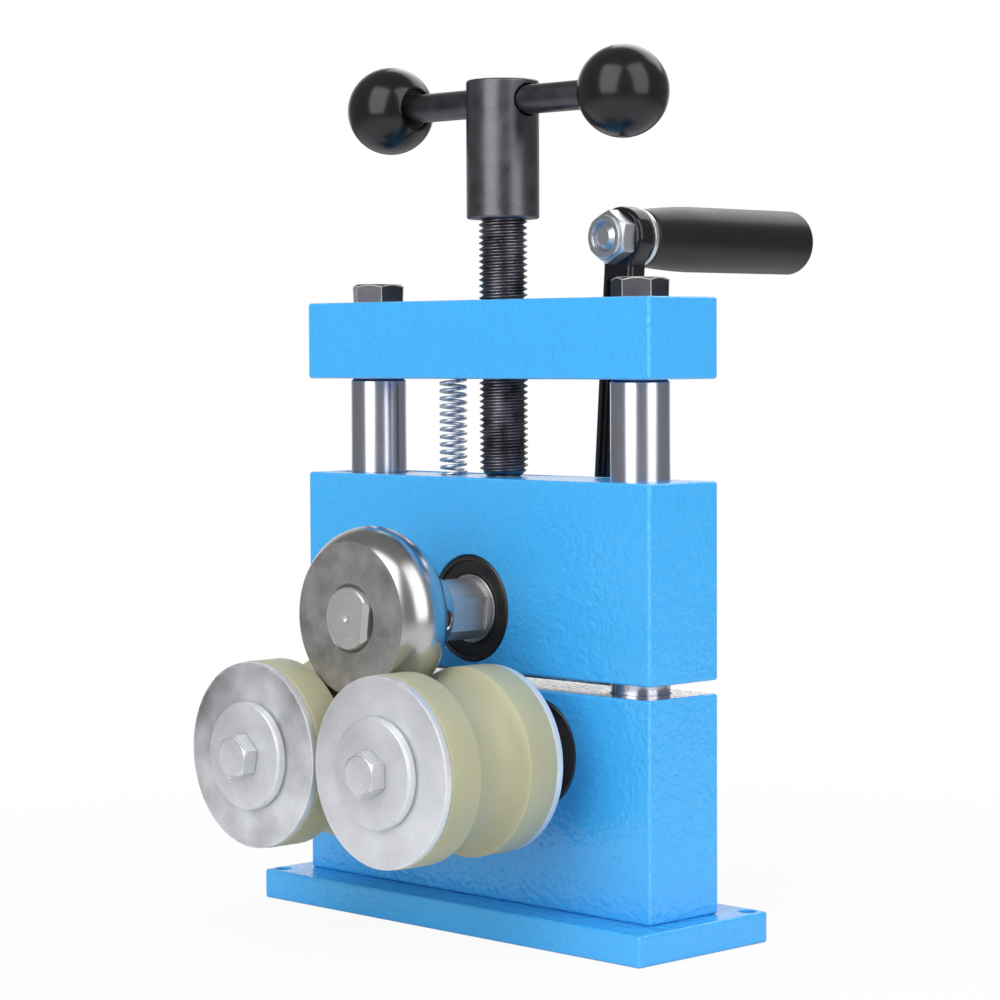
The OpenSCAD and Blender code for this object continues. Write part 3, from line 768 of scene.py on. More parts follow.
def begin(name: str, values: dict[str, object]) -> tuple[Material, Tree, bpy.types.Node]:
    """Starts a material.

    Args:
        name: the material's name.
        values: plain values of the Principled BSDF's sockets.

    Returns:
        The material, its tree helper and its Principled BSDF.
    """
    material = bpy.data.materials.new(name)
    material.use_nodes = True
    tree = Tree(material.node_tree)
    shader = material.node_tree.nodes["Principled BSDF"]
    for key, value in values.items():
        shader.inputs[key].default_value = value
    return material, tree, shader


def emboss(tree: Tree, shader: bpy.types.Node, height: object, distance: float, strength: float) -> None:
    """Lets a height pattern bend the shader's normals.

    Args:
        tree: the material's tree helper.
        shader: its Principled BSDF.
        height: the height pattern.
        distance: what its full height is, in millimetres.
        strength: share of the effect.
    """
    inputs = {"Height": height, "Distance": distance * MM, "Strength": strength}
    tree.feed(shader.inputs["Normal"], tree.add("ShaderNodeBump", inputs).outputs[0])


def duller(tree: Tree, mask: object, roughness: float, more: float) -> Socket:
    """Roughness that grows by a given amount where a mask is full."""
    return tree.spread(mask, 0.0, 1.0, roughness, roughness + more)


def shade(color: Shade, share: float) -> Shade:
    """A colour made darker or lighter by a factor."""
    return (min(1.0, color[0] * share), min(1.0, color[1] * share), min(1.0, color[2] * share), 1.0)


@dataclass(frozen=True)
class Paint:
    """Glossy sprayed paint on a block, with a rippled skin and paler edges painted on as a highlight."""

    name: str
    color: Shade
    # Paler blue: painted highlight along the edges, and the colour of the dust specks
    worn: Shade
    low: Vector
    high: Vector
    roughness: float = 0.13
    ripple: float = 520.0
    ripple_h: float = 0.8
    edge_w: float = 0.6
    paler: float = 0.35

    def make(self, effects: Effects) -> Material:
        """Builds the material.

        Args:
            effects: the effects that finishes share.

        Returns:
            The material.
        """
        material, tree, shader = begin(self.name, {"Specular IOR Level": 0.7})
        where = Pattern().vector(tree)
        cloud = tree.place_group(effects.mottle, Vector=where, Scale=22.0, Contrast=1.2)
        middle, half = (self.low + self.high) / 2 * MM, (self.high - self.low) / 2 * MM
        # Painted highlight: a ragged band along the block's edges takes the paler blue
        wear = tree.place_group(effects.edge_sheen, Vector=where, Width=self.edge_w * MM, Middle=middle,
                                Half=half)
        dust = tree.place_group(effects.specks, Vector=where, Scale=1500.0, Amount=0.02)
        body = tree.mix(cloud, shade(self.color, share=0.95), self.color)
        marked = tree.over(body, self.worn, wear, self.paler)
        tree.feed(shader.inputs["Base Color"], tree.over(marked, self.worn, dust, self.paler))
        tree.feed(shader.inputs["Roughness"], duller(tree, cloud, self.roughness, more=0.08))
        ripple = tree.place_group(effects.peel, Vector=where, Scale=self.ripple)
        emboss(tree, shader, ripple, self.ripple_h, strength=1.0)
        return material


@dataclass(frozen=True)
class Turned:
    """Bare or plated metal that came off a lathe, with rings round its axis and a little stain."""

    name: str
    color: Shade
    stain: Shade
    pattern: Pattern
    roughness: float
    rings: float = 2500.0
    depth: float = 0.004
    trough: float = 0.88
    stained: float = 0.25
    stain_dull: float = 0.06
    cloud_scale: float = 110.0
    metallic: float = 1.0

    def make(self, effects: Effects) -> Material:
        """Builds the material.

        Args:
            effects: the effects that finishes share.

        Returns:
            The material.
        """
        material, tree, shader = begin(self.name, {"Metallic": self.metallic})
        where = self.pattern.vector(tree)
        marks = tree.place_group(effects.tool_marks, Vector=where, Rings=self.rings)
        cloud = tree.place_group(effects.mottle, Vector=where, Scale=self.cloud_scale, Contrast=1.8)
        line = tree.spread(marks, low=0.35, high=0.65)
        bare = tree.mix(line, shade(self.color, self.trough), self.color)
        tree.feed(shader.inputs["Base Color"], tree.over(bare, self.stain, cloud, self.stained))
        rough = tree.spread(line, 0.0, 1.0, out_low=self.roughness * 1.15, out_high=self.roughness * 0.9)
        dulled = tree.math("MULTIPLY", cloud, self.stain_dull)
        tree.feed(shader.inputs["Roughness"], tree.math("ADD", rough, dulled))
        emboss(tree, shader, marks, self.depth, strength=0.6)
        return material


@dataclass(frozen=True)
class Plated:
    """Zinc or bare metal with small grains, smudges, dark spots and, on a disc, a bright rim of wear and
    painted highlight.
    """

    name: str
    color: Shade
    stain: Shade
    roughness: float = 0.38
    metallic: float = 0.56
    grain: float = 900.0
    smudged: float = 0.4
    smudge_scale: float = 38.0
    spotted: float = 0.06
    spot_share: float = 0.8
    pattern: Pattern = Pattern()
    rim_r: float = 0.0
    rim_w: float = 0.8

    def make(self, effects: Effects) -> Material:
        """Builds the material.

        Args:
            effects: the effects that finishes share.

        Returns:
            The material.
        """
        material, tree, shader = begin(self.name, {"Metallic": self.metallic})
        where = self.pattern.vector(tree)
        cells = tree.add("ShaderNodeTexVoronoi", {"Vector": where, "Scale": self.grain})
        flake = tree.add("ShaderNodeSeparateColor", {0: cells.outputs["Color"]}).outputs[0]
        cloud = tree.place_group(effects.mottle, Vector=where, Scale=self.smudge_scale, Contrast=2.8)
        spot = tree.place_group(effects.specks, Vector=where, Scale=700.0, Amount=self.spotted)
        bare = tree.mix(flake, shade(self.color, share=0.96), self.color)
        smudge = tree.math("MULTIPLY", cloud, self.smudged)
        dark = tree.math("MAXIMUM", smudge, tree.math("MULTIPLY", spot, self.spot_share))
        surface = tree.mix(dark, bare, self.stain)
        # Bright rim: a lighter zinc band, partly wear and partly painted highlight
        if self.rim_r:
            rim = tree.place_group(effects.rim_wear_and_sheen, Vector=where, Radius=self.rim_r * MM,
                                   Width=self.rim_w * MM)
            surface = tree.over(surface, shade(self.color, share=1.2), rim, share=0.4)
        tree.feed(shader.inputs["Base Color"], surface)
        tree.feed(shader.inputs["Roughness"], duller(tree, cloud, self.roughness, more=0.1))
        emboss(tree, shader, flake, distance=0.01, strength=0.15)
        return material


@dataclass(frozen=True)
class Blackened:
    """Oiled black oxide on turned steel, rubbed paler and duller in patches and spots."""

    name: str
    color: Shade
    rubbed: Shade
    pattern: Pattern
    roughness: float = 0.3
    rings: float = 1600.0
    patch_share: float = 0.6
    spot_share: float = 0.7

    def make(self, effects: Effects) -> Material:
        """Builds the material.

        Args:
            effects: the effects that finishes share.

        Returns:
            The material.
        """
        material, tree, shader = begin(self.name, {"Metallic": 1.0})
        where = self.pattern.vector(tree)
        marks = tree.place_group(effects.tool_marks, Vector=where, Rings=self.rings)
        cloud = tree.place_group(effects.mottle, Vector=where, Scale=150.0, Contrast=2.4)
        spot = tree.place_group(effects.specks, Vector=where, Scale=1100.0, Amount=0.3)
        patches = tree.math("MULTIPLY", cloud, self.patch_share)
        rub = tree.math("MAXIMUM", patches, tree.math("MULTIPLY", spot, self.spot_share))
        tree.feed(shader.inputs["Base Color"], tree.mix(rub, self.color, self.rubbed))
        tree.feed(shader.inputs["Roughness"], duller(tree, cloud, self.roughness, more=0.12))
        emboss(tree, shader, marks, distance=0.008, strength=0.5)
        return material


@dataclass(frozen=True)
class Moulded:
    """Moulded plastic, rubber or enamel with a faint skin and a few dust specks."""

    name: str
    color: Shade
    dust: Shade
    roughness: float
    skin: float = 900.0
    depth: float = 0.01
    subsurface: float = 0.0

    def make(self, effects: Effects) -> Material:
        """Builds the material.

        Args:
            effects: the effects that finishes share.

        Returns:
            The material.
        """
        values = {"Subsurface Weight": self.subsurface, "Subsurface Radius": (1.0, 0.95, 0.6),
                  "Subsurface Scale": 4.0 * MM}
        material, tree, shader = begin(self.name, values)
        where = Pattern().vector(tree)
        cloud = tree.place_group(effects.mottle, Vector=where, Scale=60.0, Contrast=1.4)
        spot = tree.place_group(effects.specks, Vector=where, Scale=1100.0, Amount=0.03)
        body = tree.mix(cloud, self.color, shade(self.color, share=1.12))
        tree.feed(shader.inputs["Base Color"], tree.over(body, self.dust, spot, share=0.3))
        tree.feed(shader.inputs["Roughness"], duller(tree, cloud, self.roughness, more=0.08))
        skin = tree.place_group(effects.peel, Vector=where, Scale=self.skin)
        emboss(tree, shader, skin, self.depth, strength=0.4)
        return material


# Sub-assemblies


def cad_box(node: str) -> tuple[Vector, Vector]:
    """Lowest and highest corner of a CAD node, in millimetres."""
    low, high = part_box(node)
    return low / MM, high / MM


def copy_of(piece: Piece, name: str, move: Vector) -> Piece:
    """Copies a piece, with a mesh of its own, and moves the copy.

    Args:
        piece: the piece.
        name: the copy's name.
        move: how far the copy goes.

    Returns:
        The copy.
    """
    pick(piece)
    bpy.ops.object.duplicate()
    copy = bpy.context.object
    copy.name = name
    bpy.ops.transform.translate(value=move * MM)
    bpy.ops.object.transform_apply(location=True, rotation=True, scale=True)
    return copy


@dataclass
class Finishes:
    """Every finish of the machine, built once."""

    effects: Effects
    blue: Shade = srgb(66, 177, 247)
    # Pale blue of the paint's painted edge highlight and of its dust specks
    highlight_and_dust_blue: Shade = srgb(150, 214, 250)
    steel: Shade = srgb(206, 204, 203)
    steel_stain: Shade = srgb(112, 108, 108)
    race: Shade = srgb(92, 86, 82)
    zinc: Shade = srgb(232, 234, 239)
    zinc_stain: Shade = srgb(110, 108, 112)
    black: Shade = srgb(98, 95, 102)
    black_rubbed: Shade = srgb(132, 129, 136)
    dust: Shade = srgb(120, 120, 122)

    def paint(self, node: str) -> Material:
        """Blue paint fitted to the edges of one block."""
        low, high = cad_box(node)
        return Paint(node + "_paint", self.blue, self.highlight_and_dust_blue, low, high).make(self.effects)

    def bare_top(self) -> Material:
        """Milled top of the lower block, left unpainted and pitted."""
        return Plated("bare_block_top", srgb(244, 244, 246), srgb(24, 24, 26), roughness=0.14, metallic=1.0,
                      smudged=0.06, spotted=0.55).make(self.effects)

    def chrome(self, x: float) -> Material:
        """Hard chrome of a guide post.

        Args:
            x: place of the post across the machine.

        Returns:
            The material.
        """
        return Turned("post_chrome", srgb(210, 212, 226), srgb(172, 174, 188), Pattern((x, 0.0, 0.0)),
                      roughness=0.19, rings=5000.0, depth=0.0008, trough=0.95,
                      stained=0.15).make(self.effects)

    def turned_steel(self, name: str, x: float, z: float, roughness: float, **more: float) -> Material:
        """Bare steel turned round an axis along Y.

        Args:
            name: the material's name.
            x: place of the axis across the machine.
            z: height of the axis.
            roughness: how dull the steel is.
            more: other values of the turned finish.

        Returns:
            The material.
        """
        pattern = Pattern((x, 0.0, z), Axis.Y)
        return Turned(name, self.steel, self.steel_stain, pattern, roughness, **more).make(self.effects)

    def race_steel(self, name: str, x: float, z: float) -> Material:
        """Ground steel of a bearing's rings, coloured much darker than the turned steel.

        Args:
            name: the material's name.
            x: place of the axis across the machine.
            z: height of the axis.

        Returns:
            The material.
        """
        pattern = Pattern((x, 0.0, z), Axis.Y)
        return Turned(name, self.race, self.steel_stain, pattern, roughness=0.3, rings=2600.0,
                      depth=0.002).make(self.effects)

    def galvanised(self, name: str, at: Vector, rim_r: float, smudged: float) -> Material:
        """Stained zinc of a disc, a washer or a bolt, brighter at its rim by wear and a painted highlight.

        Args:
            name: the material's name.
            at: a point on the piece's axis.
            rim_r: radius of its rim, or nothing.
            smudged: how strong its smudges are.

        Returns:
            The material.
        """
        return Plated(name, self.zinc, self.zinc_stain, smudged=smudged, pattern=Pattern(tuple(at), Axis.Y),
                      rim_r=rim_r).make(self.effects)

    def bright_zinc(self, name: str) -> Material:
        """Bright zinc of small fasteners and the spring."""
        return Plated(name, srgb(228, 231, 236), srgb(168, 168, 170), roughness=0.24, metallic=0.9,
                      grain=1400.0, smudged=0.3).make(self.effects)

    def worn_edge(self) -> Material:
        """Bare metal of edges where a finish is rubbed off."""
        return Plated("worn_edge", srgb(216, 214, 212), srgb(110, 106, 104), roughness=0.36, smudged=0.5,
                      smudge_scale=300.0).make(self.effects)

    def black_oxide(self, name: str, at: Place = (0.0, 0.0, 0.0), axis: Axis = Axis.Z,
                    tone: float = 1.0, wear: float = 1.0) -> Material:
        """Blackened steel turned round an axis.

        Args:
            name: the material's name.
            at: a point on the axis.
            axis: the way of the axis.
            tone: how pale the piece is, with the hub as 1.
            wear: how pale its rubbed spots are, with the hub's as 1.

        Returns:
            The material.
        """
        return Blackened(name, shade(self.black, tone), shade(self.black_rubbed, wear),
                         Pattern(at, axis)).make(self.effects)

    def black_plastic(self, name: str, roughness: float) -> Material:
        """Black plastic of the knobs and the grip."""
        return Moulded(name, srgb(20, 19, 23), self.dust, roughness, skin=700.0,
                       depth=0.006).make(self.effects)

    def enamel(self) -> Material:
        """Glossy black enamel of the crank's arm."""
        return Moulded("arm_enamel", srgb(22, 21, 25), self.dust, roughness=0.08, skin=420.0,
                       depth=0.02).make(self.effects)

    def nylon(self) -> Material:
        """Pale, slightly clear nylon of the lower rollers."""
        return Moulded("roller_nylon", srgb(172, 171, 142), srgb(150, 146, 120), roughness=0.36, skin=300.0,
                       subsurface=0.7).make(self.effects)

    def rubber(self) -> Material:
        """Black rubber of the bearing seals."""
        return Moulded("seal_rubber", srgb(27, 25, 26), self.dust, roughness=0.42, skin=1500.0,
                       depth=0.02).make(self.effects)

    def bronze(self) -> Material:
        """Bronze of the thrust pad."""
        return Turned("pad_bronze", srgb(190, 146, 84), srgb(120, 88, 48), Pattern(),
                      roughness=0.3).make(self.effects)


@dataclass
class PaintedBody:
    """The base, the two blocks and the crossbar, all of one blue paint."""

    finishes: Finishes
    rounding: float = 1.0
    bench_hole_d: float = 5.5
    bench_hole_inset: float = 4.5
    axis_x: float = 30.3
    axis_inset: float = 20.2
    bearing_d: float = 35.3
    bearing_depth: float = 10.0
    shoulder_d: float = 29.4
    post_x: float = 61.4
    post_d: float = 19.3
    post_seat: float = 12.0
    post_guide: float = 20.0
    post_recess: float = 6.0
    spring_x: float = -24.2
    pocket_d: float = 10.6
    pocket_depth: float = 8.0
    nose_d: float = 11.6
    nose_depth: float = 12.0
    thread_d: float = 16.2
    thread_middle: float = 13.0

    def build(self) -> None:
        """Makes the four painted pieces."""
        self.make_base()
        self.make_lower_block()
        self.make_upper_block()
        self.make_crossbar()

    def block(self, name: str, node: str) -> Piece:
        """Rounded box in the place of a CAD block."""
        low, high = cad_box(node)
        return rounded_box(name, low, high, self.rounding)

    def cut_bearing_seats(self, block: Piece, x: float, z: float, node: str) -> None:
        """Bores the seats of the front and rear bearing, with a shoulder between them.

        Args:
            block: the block to bore.
            x: place of the axis across the block.
            z: height of the axis.
            node: the block's CAD node.
        """
        low, high = cad_box(node)
        lathe = Lathe(Vector((x, 0.0, z)), Axis.Y)
        carve(block, lathe.bore(self.bearing_d, low.y, low.y + self.bearing_depth),
              lathe.bore(self.bearing_d, high.y, high.y - self.bearing_depth),
              lathe.bar("shoulder", self.shoulder_d, low.y + LAP, high.y - LAP))

    def make_base(self) -> None:
        """Base plate with its two bench holes."""
        low, high = cad_box("base_plate")
        base = self.block("painted_base", "base_plate")
        inset = Vector((self.bench_hole_inset, self.bench_hole_inset, high.z))
        for side in Side:
            at = (high - inset) * side.value
            carve(base, Lathe(at, Axis.Z).bore(self.bench_hole_d, high.z, low.z - LAP, flare=0.4))
        even_normals(base)
        fit(base, self.finishes.paint("base_plate"), "frame", "base_plate")

    def make_lower_block(self) -> None:
        """Lower block with four bearing seats, two post seats and a bare top."""
        node = "lower_block"
        top = cad_box(node)[1].z
        block = self.block("painted_lower_block", node)
        for side in Side:
            self.cut_bearing_seats(block, side.value * self.axis_x, top - self.axis_inset, node)
            carve(block, upright(side.value * self.post_x).bore(self.post_d, top, top - self.post_seat))
        even_normals(block)
        fit(block, self.finishes.paint(node), "frame", node)
        refinish(block, self.finishes.bare_top(), Axis.Z.along, top - END_SLACK, within=0.99)

    def make_upper_block(self) -> None:
        """Upper block, which slides on the posts and carries the drive shaft."""
        node = "upper_block"
        low, high = cad_box(node)
        block = self.block("painted_upper_block", node)
        self.cut_bearing_seats(block, 0.0, low.z + self.axis_inset, node)
        for side in Side:
            lathe = upright(side.value * self.post_x)
            carve(block, lathe.bore(self.post_d, high.z, high.z - self.post_guide),
                  lathe.bore(self.post_d, low.z, low.z + self.post_guide))
        carve(block, upright(self.spring_x).bore(self.pocket_d, high.z, high.z - self.pocket_depth),
              upright().bore(self.nose_d, high.z, high.z - self.nose_depth, flare=0.5))
        even_normals(block)
        fit(block, self.finishes.paint(node), "head", node)

    def make_crossbar(self) -> None:
        """Crossbar, which holds the posts and the feed screw's thread."""
        node = "crossbar"
        low, high = cad_box(node)
        bar = self.block("painted_crossbar", node)
        for side in Side:
            lathe = upright(side.value * self.post_x)
            carve(bar, lathe.bore(self.post_d, low.z, low.z + self.post_recess))
        middle = low.z + self.thread_middle
        carve(bar, upright(self.spring_x).bore(self.pocket_d, low.z, low.z + self.pocket_depth),
              upright().bore(self.thread_d, high.z, middle - LAP, flare=0.9),
              upright().bore(self.thread_d, low.z, middle + LAP, flare=0.9))
        even_normals(bar)
        fit(bar, self.finishes.paint(node), "frame", node)


@dataclass
class GuidePosts:
    """The two chromed posts and the bolts that hold the crossbar on them."""

    finishes: Finishes
    bolt_af: float = 16.0
    bolt_d: float = 10.0
    bolt_turn: float = 5.0
    chamfer: float = 0.5
    end_rounding: float = 0.8
    groove: float = 1.0

    def build(self, worn: Material) -> None:
        """Makes the posts and their bolts.

        Args:
            worn: the finish of the bolts' worn edges.
        """
        oxide = self.finishes.black_oxide("bolt_oxide", tone=0.7, wear=0.7)
        heads = []
        for side in Side:
            node = "guide_post_" + side.word
            low, high = cad_box(node)
            x = (low.x + high.x) / 2
            fit(self.post(side, x), self.finishes.chrome(x), "frame", node)
            heads.append(self.bolt(side, x, oxide, worn))
        fit(join("post_hex_bolts", *heads), oxide, "frame", "post_bolts")

    def post(self, side: Side, x: float) -> Piece:
        """One post, with a groove where it enters the crossbar.

        Args:
            side: which post.
            x: its place across the machine.

        Returns:
            The post.
        """
        low, high = cad_box("guide_post_" + side.word)
        under = cad_box("crossbar")[0].z
        r = (high.x - low.x) / 2
        neck = r - self.groove
        outline = rounded([
            (0.0, low.z, 0.0), (r, low.z, self.end_rounding), (r, under - self.groove, 0.1),
            (neck, under, 0.0), (r, under + self.groove, 0.0), (r, high.z, self.end_rounding),
            (0.0, high.z, 0.0)])
        return upright(x).turn("chromed_post_" + side.word, outline, steps=96)

    def bolt(self, side: Side, x: float, *finishes: Material) -> Piece:
        """One bolt, its head on the crossbar.

        Args:
            side: which post it holds.
            x: place of the post across the machine.
            finishes: the finish of the bolt and that of its worn edges.

        Returns:
            The bolt.
        """
        low, high = cad_box("post_bolts")
        seat = cad_box("crossbar")[1].z
        head = hexagon("bolt_head", self.bolt_af, high.z - seat, self.chamfer, *finishes)
        place(head, Vector((x, 0.0, seat)), Axis.Z.along, side.value * self.bolt_turn)
        shank = upright(x).bar("bolt_shank", self.bolt_d, low.z, seat + LAP, self.end_rounding, steps=32)
        return join("bolt_" + side.word, head, shank)


@dataclass
class Bearings:
    """Sealed ball bearings, one at the front and one at the back of each of the three axes."""

    finishes: Finishes
    outer_d: float = 34.96
    inner_d: float = 17.0
    width: float = 10.0
    race_t: float = 2.8
    seal_t: float = 0.8
    seal_inset: float = 0.4
    seal_lap: float = 1.2
    seal_gap: float = 0.04
    lip_gap: float = 0.2
    press: float = 0.25
    front_y: float = -16.0
    rear_y: float = 6.0
    lathe: Lathe = Lathe(Vector(), Axis.Y)

    def build(self) -> None:
        """Models one bearing's rings and copies them to every seat."""
        outer, seals = self.outer_ring(), self.seal_pair()
        inner = self.lathe.ring("inner_ring", self.inner_d + 2 * self.race_t, self.inner_d, 0.0, self.width,
                                rounding=0.45)
        rubber = self.finishes.rubber()
        for word, shell, core in (("left", "frame", "left_idler"), ("right", "frame", "right_idler"),
                                  ("upper", "head", "crank")):
            low, high = cad_box(word + "_outer_races")
            x, z = (low.x + high.x) / 2, (low.z + high.z) / 2
            steel = self.finishes.race_steel(word + "_race_steel", x, z)
            bright = self.finishes.turned_steel(word + "_inner_steel", x, z, roughness=0.28)
            for mould, name, body, finish, slot, node in (
                    (outer, "outer_rings", shell, steel, "race_steel", "outer_races"),
                    (seals, "seal_rings", shell, rubber, "seal_rubber", "seals"),
                    (inner, "inner_rings", core, bright, "race_steel", "inner_races")):
                pair = [copy_of(mould, name, Vector((x, y, z))) for y in (self.front_y, self.rear_y)]
                fit(join(f"{word}_{name}", *pair), finish, body, f"{word}_{node}")
        for mould in (outer, inner, seals):
            bpy.data.objects.remove(mould)

    def outer_ring(self) -> Piece:
        """Outer ring with a step for a seal in each face.

        Returns:
            The ring.
        """
        wall = self.outer_d / 2
        track = wall - self.race_t
        step = track + self.seal_lap
        depth = self.seal_inset + self.seal_t
        far = self.width
        return self.lathe.turn("outer_ring", rounded([
            (wall, 0.0, 0.9), (wall, far, 0.9), (step, far, 0.1), (step, far - depth, 0.0),
            (track, far - depth, 0.0), (track, depth, 0.0), (step, depth, 0.0), (step, 0.0, 0.1)],
            closed=True))

    def seal_pair(self) -> Piece:
        """The two seals of one bearing, each with a pressed groove and a soft lip.

        Returns:
            The seals, as one piece.
        """
        rim = self.outer_d / 2 - self.race_t + self.seal_lap - self.seal_gap
        lip = self.inner_d / 2 + self.race_t + self.lip_gap
        profile = [(lip, self.seal_t, 0.0), (lip, self.press, 0.15), (lip + 0.55, 0.0, 0.2),
                   (lip + 0.9, self.press, 0.15), (rim - 0.9, self.press, 0.2), (rim - 0.6, 0.0, 0.15),
                   (rim, 0.05, 0.05), (rim, self.seal_t, 0.0)]
        seals = []
        for face, sign in ((self.seal_inset, 1.0), (self.width - self.seal_inset, -1.0)):
            corners = [(r, face + sign * depth, rounding) for r, depth, rounding in profile]
            seals.append(self.lathe.turn("seal", rounded(corners, closed=True, steps=3)))
        return join("seal_mould", *seals)


@dataclass
class FeedScrew:
    """The threaded screw with its hub, cross bar and ball knobs."""

    finishes: Finishes
    crest_r: float = 8.0
    root_r: float = 6.75
    pitch: float = 2.0
    crest_w: float = 0.25
    root_w: float = 0.35
    chamfer: float = 2.2
    nose_d: float = 11.0
    tip_z: float = 147.7
    steps: int = 48
    hole_gap: float = 0.6
    mouth_gap: float = 2.1
    mouth_depth: float = 2.4

    def build(self) -> None:
        """Makes the screw and its handle."""
        oxide = self.finishes.black_oxide("screw_oxide", tone=0.5, wear=2.2)
        fit(self.make_screw(), oxide, "screw", "feed_screw")
        self.make_hub()
        low, high = cad_box("handle_bar")
        at = Vector((0.0, 0.0, (low.z + high.z) / 2))
        bar = Lathe(at, Axis.X).bar("cross_bar", high.z - low.z, low.x, high.x, rounding=0.8,
                                    steps=self.steps)
        finish = self.finishes.black_oxide("bar_oxide", tuple(at), Axis.X, tone=0.75, wear=0.75)
        fit(bar, finish, "screw", "handle_bar")
        plastic = self.finishes.black_plastic("knob_plastic", roughness=0.16)
        for side in Side:
            ball = self.make_ball(side, high.z - low.z)
            fit(ball, plastic, "screw", "ball_knob_" + side.word)

    def make_screw(self) -> Piece:
        """Screw with a real thread, turned from one tooth.

        Returns:
            The screw.
        """
        low, high = cad_box("feed_screw")
        rise = (self.pitch - self.crest_w - self.root_w) / 2
        start = self.tip_z - 2 * self.pitch
        tooth = [(self.root_r, 0.0), (self.root_r, self.root_w), (self.crest_r, self.root_w + rise),
                 (self.crest_r, self.root_w + rise + self.crest_w), (self.root_r, self.pitch)]
        points = [Vector((r, 0.0, start + h)) * MM for r, h in tooth]
        screw = draw_chain("threaded_screw", points)
        let_go()
        modifier = screw.modifiers.new("thread", "SCREW")
        modifier.axis = "Z"
        modifier.angle = math.tau
        modifier.screw_offset = self.pitch * MM
        modifier.iterations = math.ceil((high.z - start) / self.pitch) + 2
        modifier.steps = modifier.render_steps = self.steps
        modifier.use_merge_vertices = True
        modifier.merge_threshold = 1e-6
        pick(screw)
        bpy.ops.object.modifier_apply(modifier=modifier.name)
        edit_all(screw)
        bpy.ops.mesh.remove_doubles(threshold=MERGE)
        for z, sign in ((self.tip_z - LAP / 2, -1.0), (high.z, 1.0)):
            bpy.ops.mesh.select_all(action="SELECT")
            bpy.ops.mesh.bisect(plane_co=(0.0, 0.0, z * MM), plane_no=(0.0, 0.0, sign), use_fill=True,
                                clear_outer=True)
        close_up()
        let_go()
        tip_r = self.crest_r - self.chamfer
        wide = self.crest_r + LAP / 2
        shoulder = self.tip_z + self.chamfer + LAP / 2
        envelope = upright().turn("tip", [(0.0, self.tip_z), (tip_r, self.tip_z), (wide, shoulder),
                                          (wide, high.z + LAP), (0.0, high.z + LAP)])
        carve(screw, envelope, keep="INTERSECT")
        smooth(screw, degrees=25.0)
        nose = upright().bar("nose", self.nose_d, low.z, self.tip_z + LAP, rounding=0.8, steps=self.steps)
        return join("threaded_screw", screw, nose)

    def make_hub(self) -> None:
        """Hub on the screw's top, with a cross hole for the bar."""
        low, high = cad_box("handle_hub")
        bar_low, bar_high = cad_box("handle_bar")
        hub = upright().bar("turned_hub", high.x - low.x, low.z, high.z, rounding=0.9, steps=96)
        at = Vector((0.0, 0.0, (bar_low.z + bar_high.z) / 2))
        hole_d = bar_high.z - bar_low.z + 2 * self.hole_gap
        carve(hub, Lathe(at, Axis.X).bar("hole", hole_d, low.x - LAP, high.x + LAP))
        soften(hub, width=0.3, degrees=50.0)
        even_normals(hub)
        fit(hub, self.finishes.black_oxide("hub_oxide"), "screw", "handle_hub")

    def make_ball(self, side: Side, bar_d: float) -> Piece:
        """Ball knob with a recess round the bar.

        Args:
            side: which end of the bar.
            bar_d: the bar's diameter.

        Returns:
            The knob.
        """
        low, high = cad_box("ball_knob_" + side.word)
        r = (high.z - low.z) / 2
        at = Vector((0.0, 0.0, (low.z + high.z) / 2))
        middle = high.x - r if side is Side.RIGHT else low.x + r
        mouth_r = bar_d / 2 + self.mouth_gap
        start = -math.degrees(math.acos(mouth_r / r))
        shell = arc((0.0, 0.0), r, start, 90.0, steps=40)
        floor = shell[0][1] + self.mouth_depth
        shape = [(0.0, floor, 0.0), (mouth_r, floor, 0.4), (*shell[0], 0.3)]
        outline = rounded(shape + [(a, b, 0.0) for a, b in shell[1:]])
        placed = [(a, middle + side.value * b) for a, b in outline]
        return Lathe(at, Axis.X).turn("ball_" + side.word, placed, steps=80)


@dataclass
class ReturnSpring:
    """Pull spring that lifts the head; its ends stand in pockets of the blocks."""

    finishes: Finishes
    coil_r: float = 4.1
    wire: float = 1.2
    turns: int = 16
    per_turn: int = 28
    leg: float = 1.2
    bend_r: float = 2.4
    bend_steps: int = 6

    def path(self) -> list[Vector]:
        """Centre line of the wire: a leg, a bend and the coil, and the same at the top.

        Returns:
            The line's points.
        """
        low, high = cad_box("return_spring")
        middle_x = (low.x + high.x) / 2
        end: Outline = [(-self.bend_r, 0.0)]
        end += arc((0.0, self.leg), self.bend_r, 180.0, 90.0, self.bend_steps)
        run = self.turns * math.tau * self.coil_r
        foot = self.leg + self.bend_r
        rise = high.z - low.z - 2 * foot
        steps = self.turns * self.per_turn
        coil = [(run * i / steps, foot + rise * i / steps) for i in range(1, steps)]
        top = [(run - s, high.z - low.z - z) for s, z in reversed(end)]
        r = self.coil_r
        return [Vector((middle_x + r * math.cos(s / r), r * math.sin(s / r), low.z + z))
                for s, z in end + coil + top]

    def build(self) -> None:
        """Draws the wire along its path between the crossbar and the head."""
        line = bpy.data.curves.new("coil_spring", "CURVE")
        line.dimensions = "3D"
        line.bevel_depth = self.wire / 2 * MM
        line.bevel_resolution = 3
        line.use_fill_caps = True
        points = self.path()
        spline = line.splines.new("POLY")
        spline.points.add(len(points) - 1)
        for spot, point in zip(spline.points, points):
            spot.co = (*(point * MM), 1.0)
        let_go()
        spring = bpy.data.objects.new("coil_spring", line)
        bpy.context.scene.collection.objects.link(spring)
        pick(spring)
        bpy.ops.object.convert(target="MESH")
        spring = bpy.context.object
        edit_all(spring)
        close_up()
        smooth(spring, degrees=40.0)
        spring.data.materials.clear()
        spring.data.materials.append(self.finishes.bright_zinc("spring_zinc"))
        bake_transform(spring)
        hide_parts("return_spring")
        log.info("%s: %d faces between frame and head", spring.name, len(spring.data.polygons))


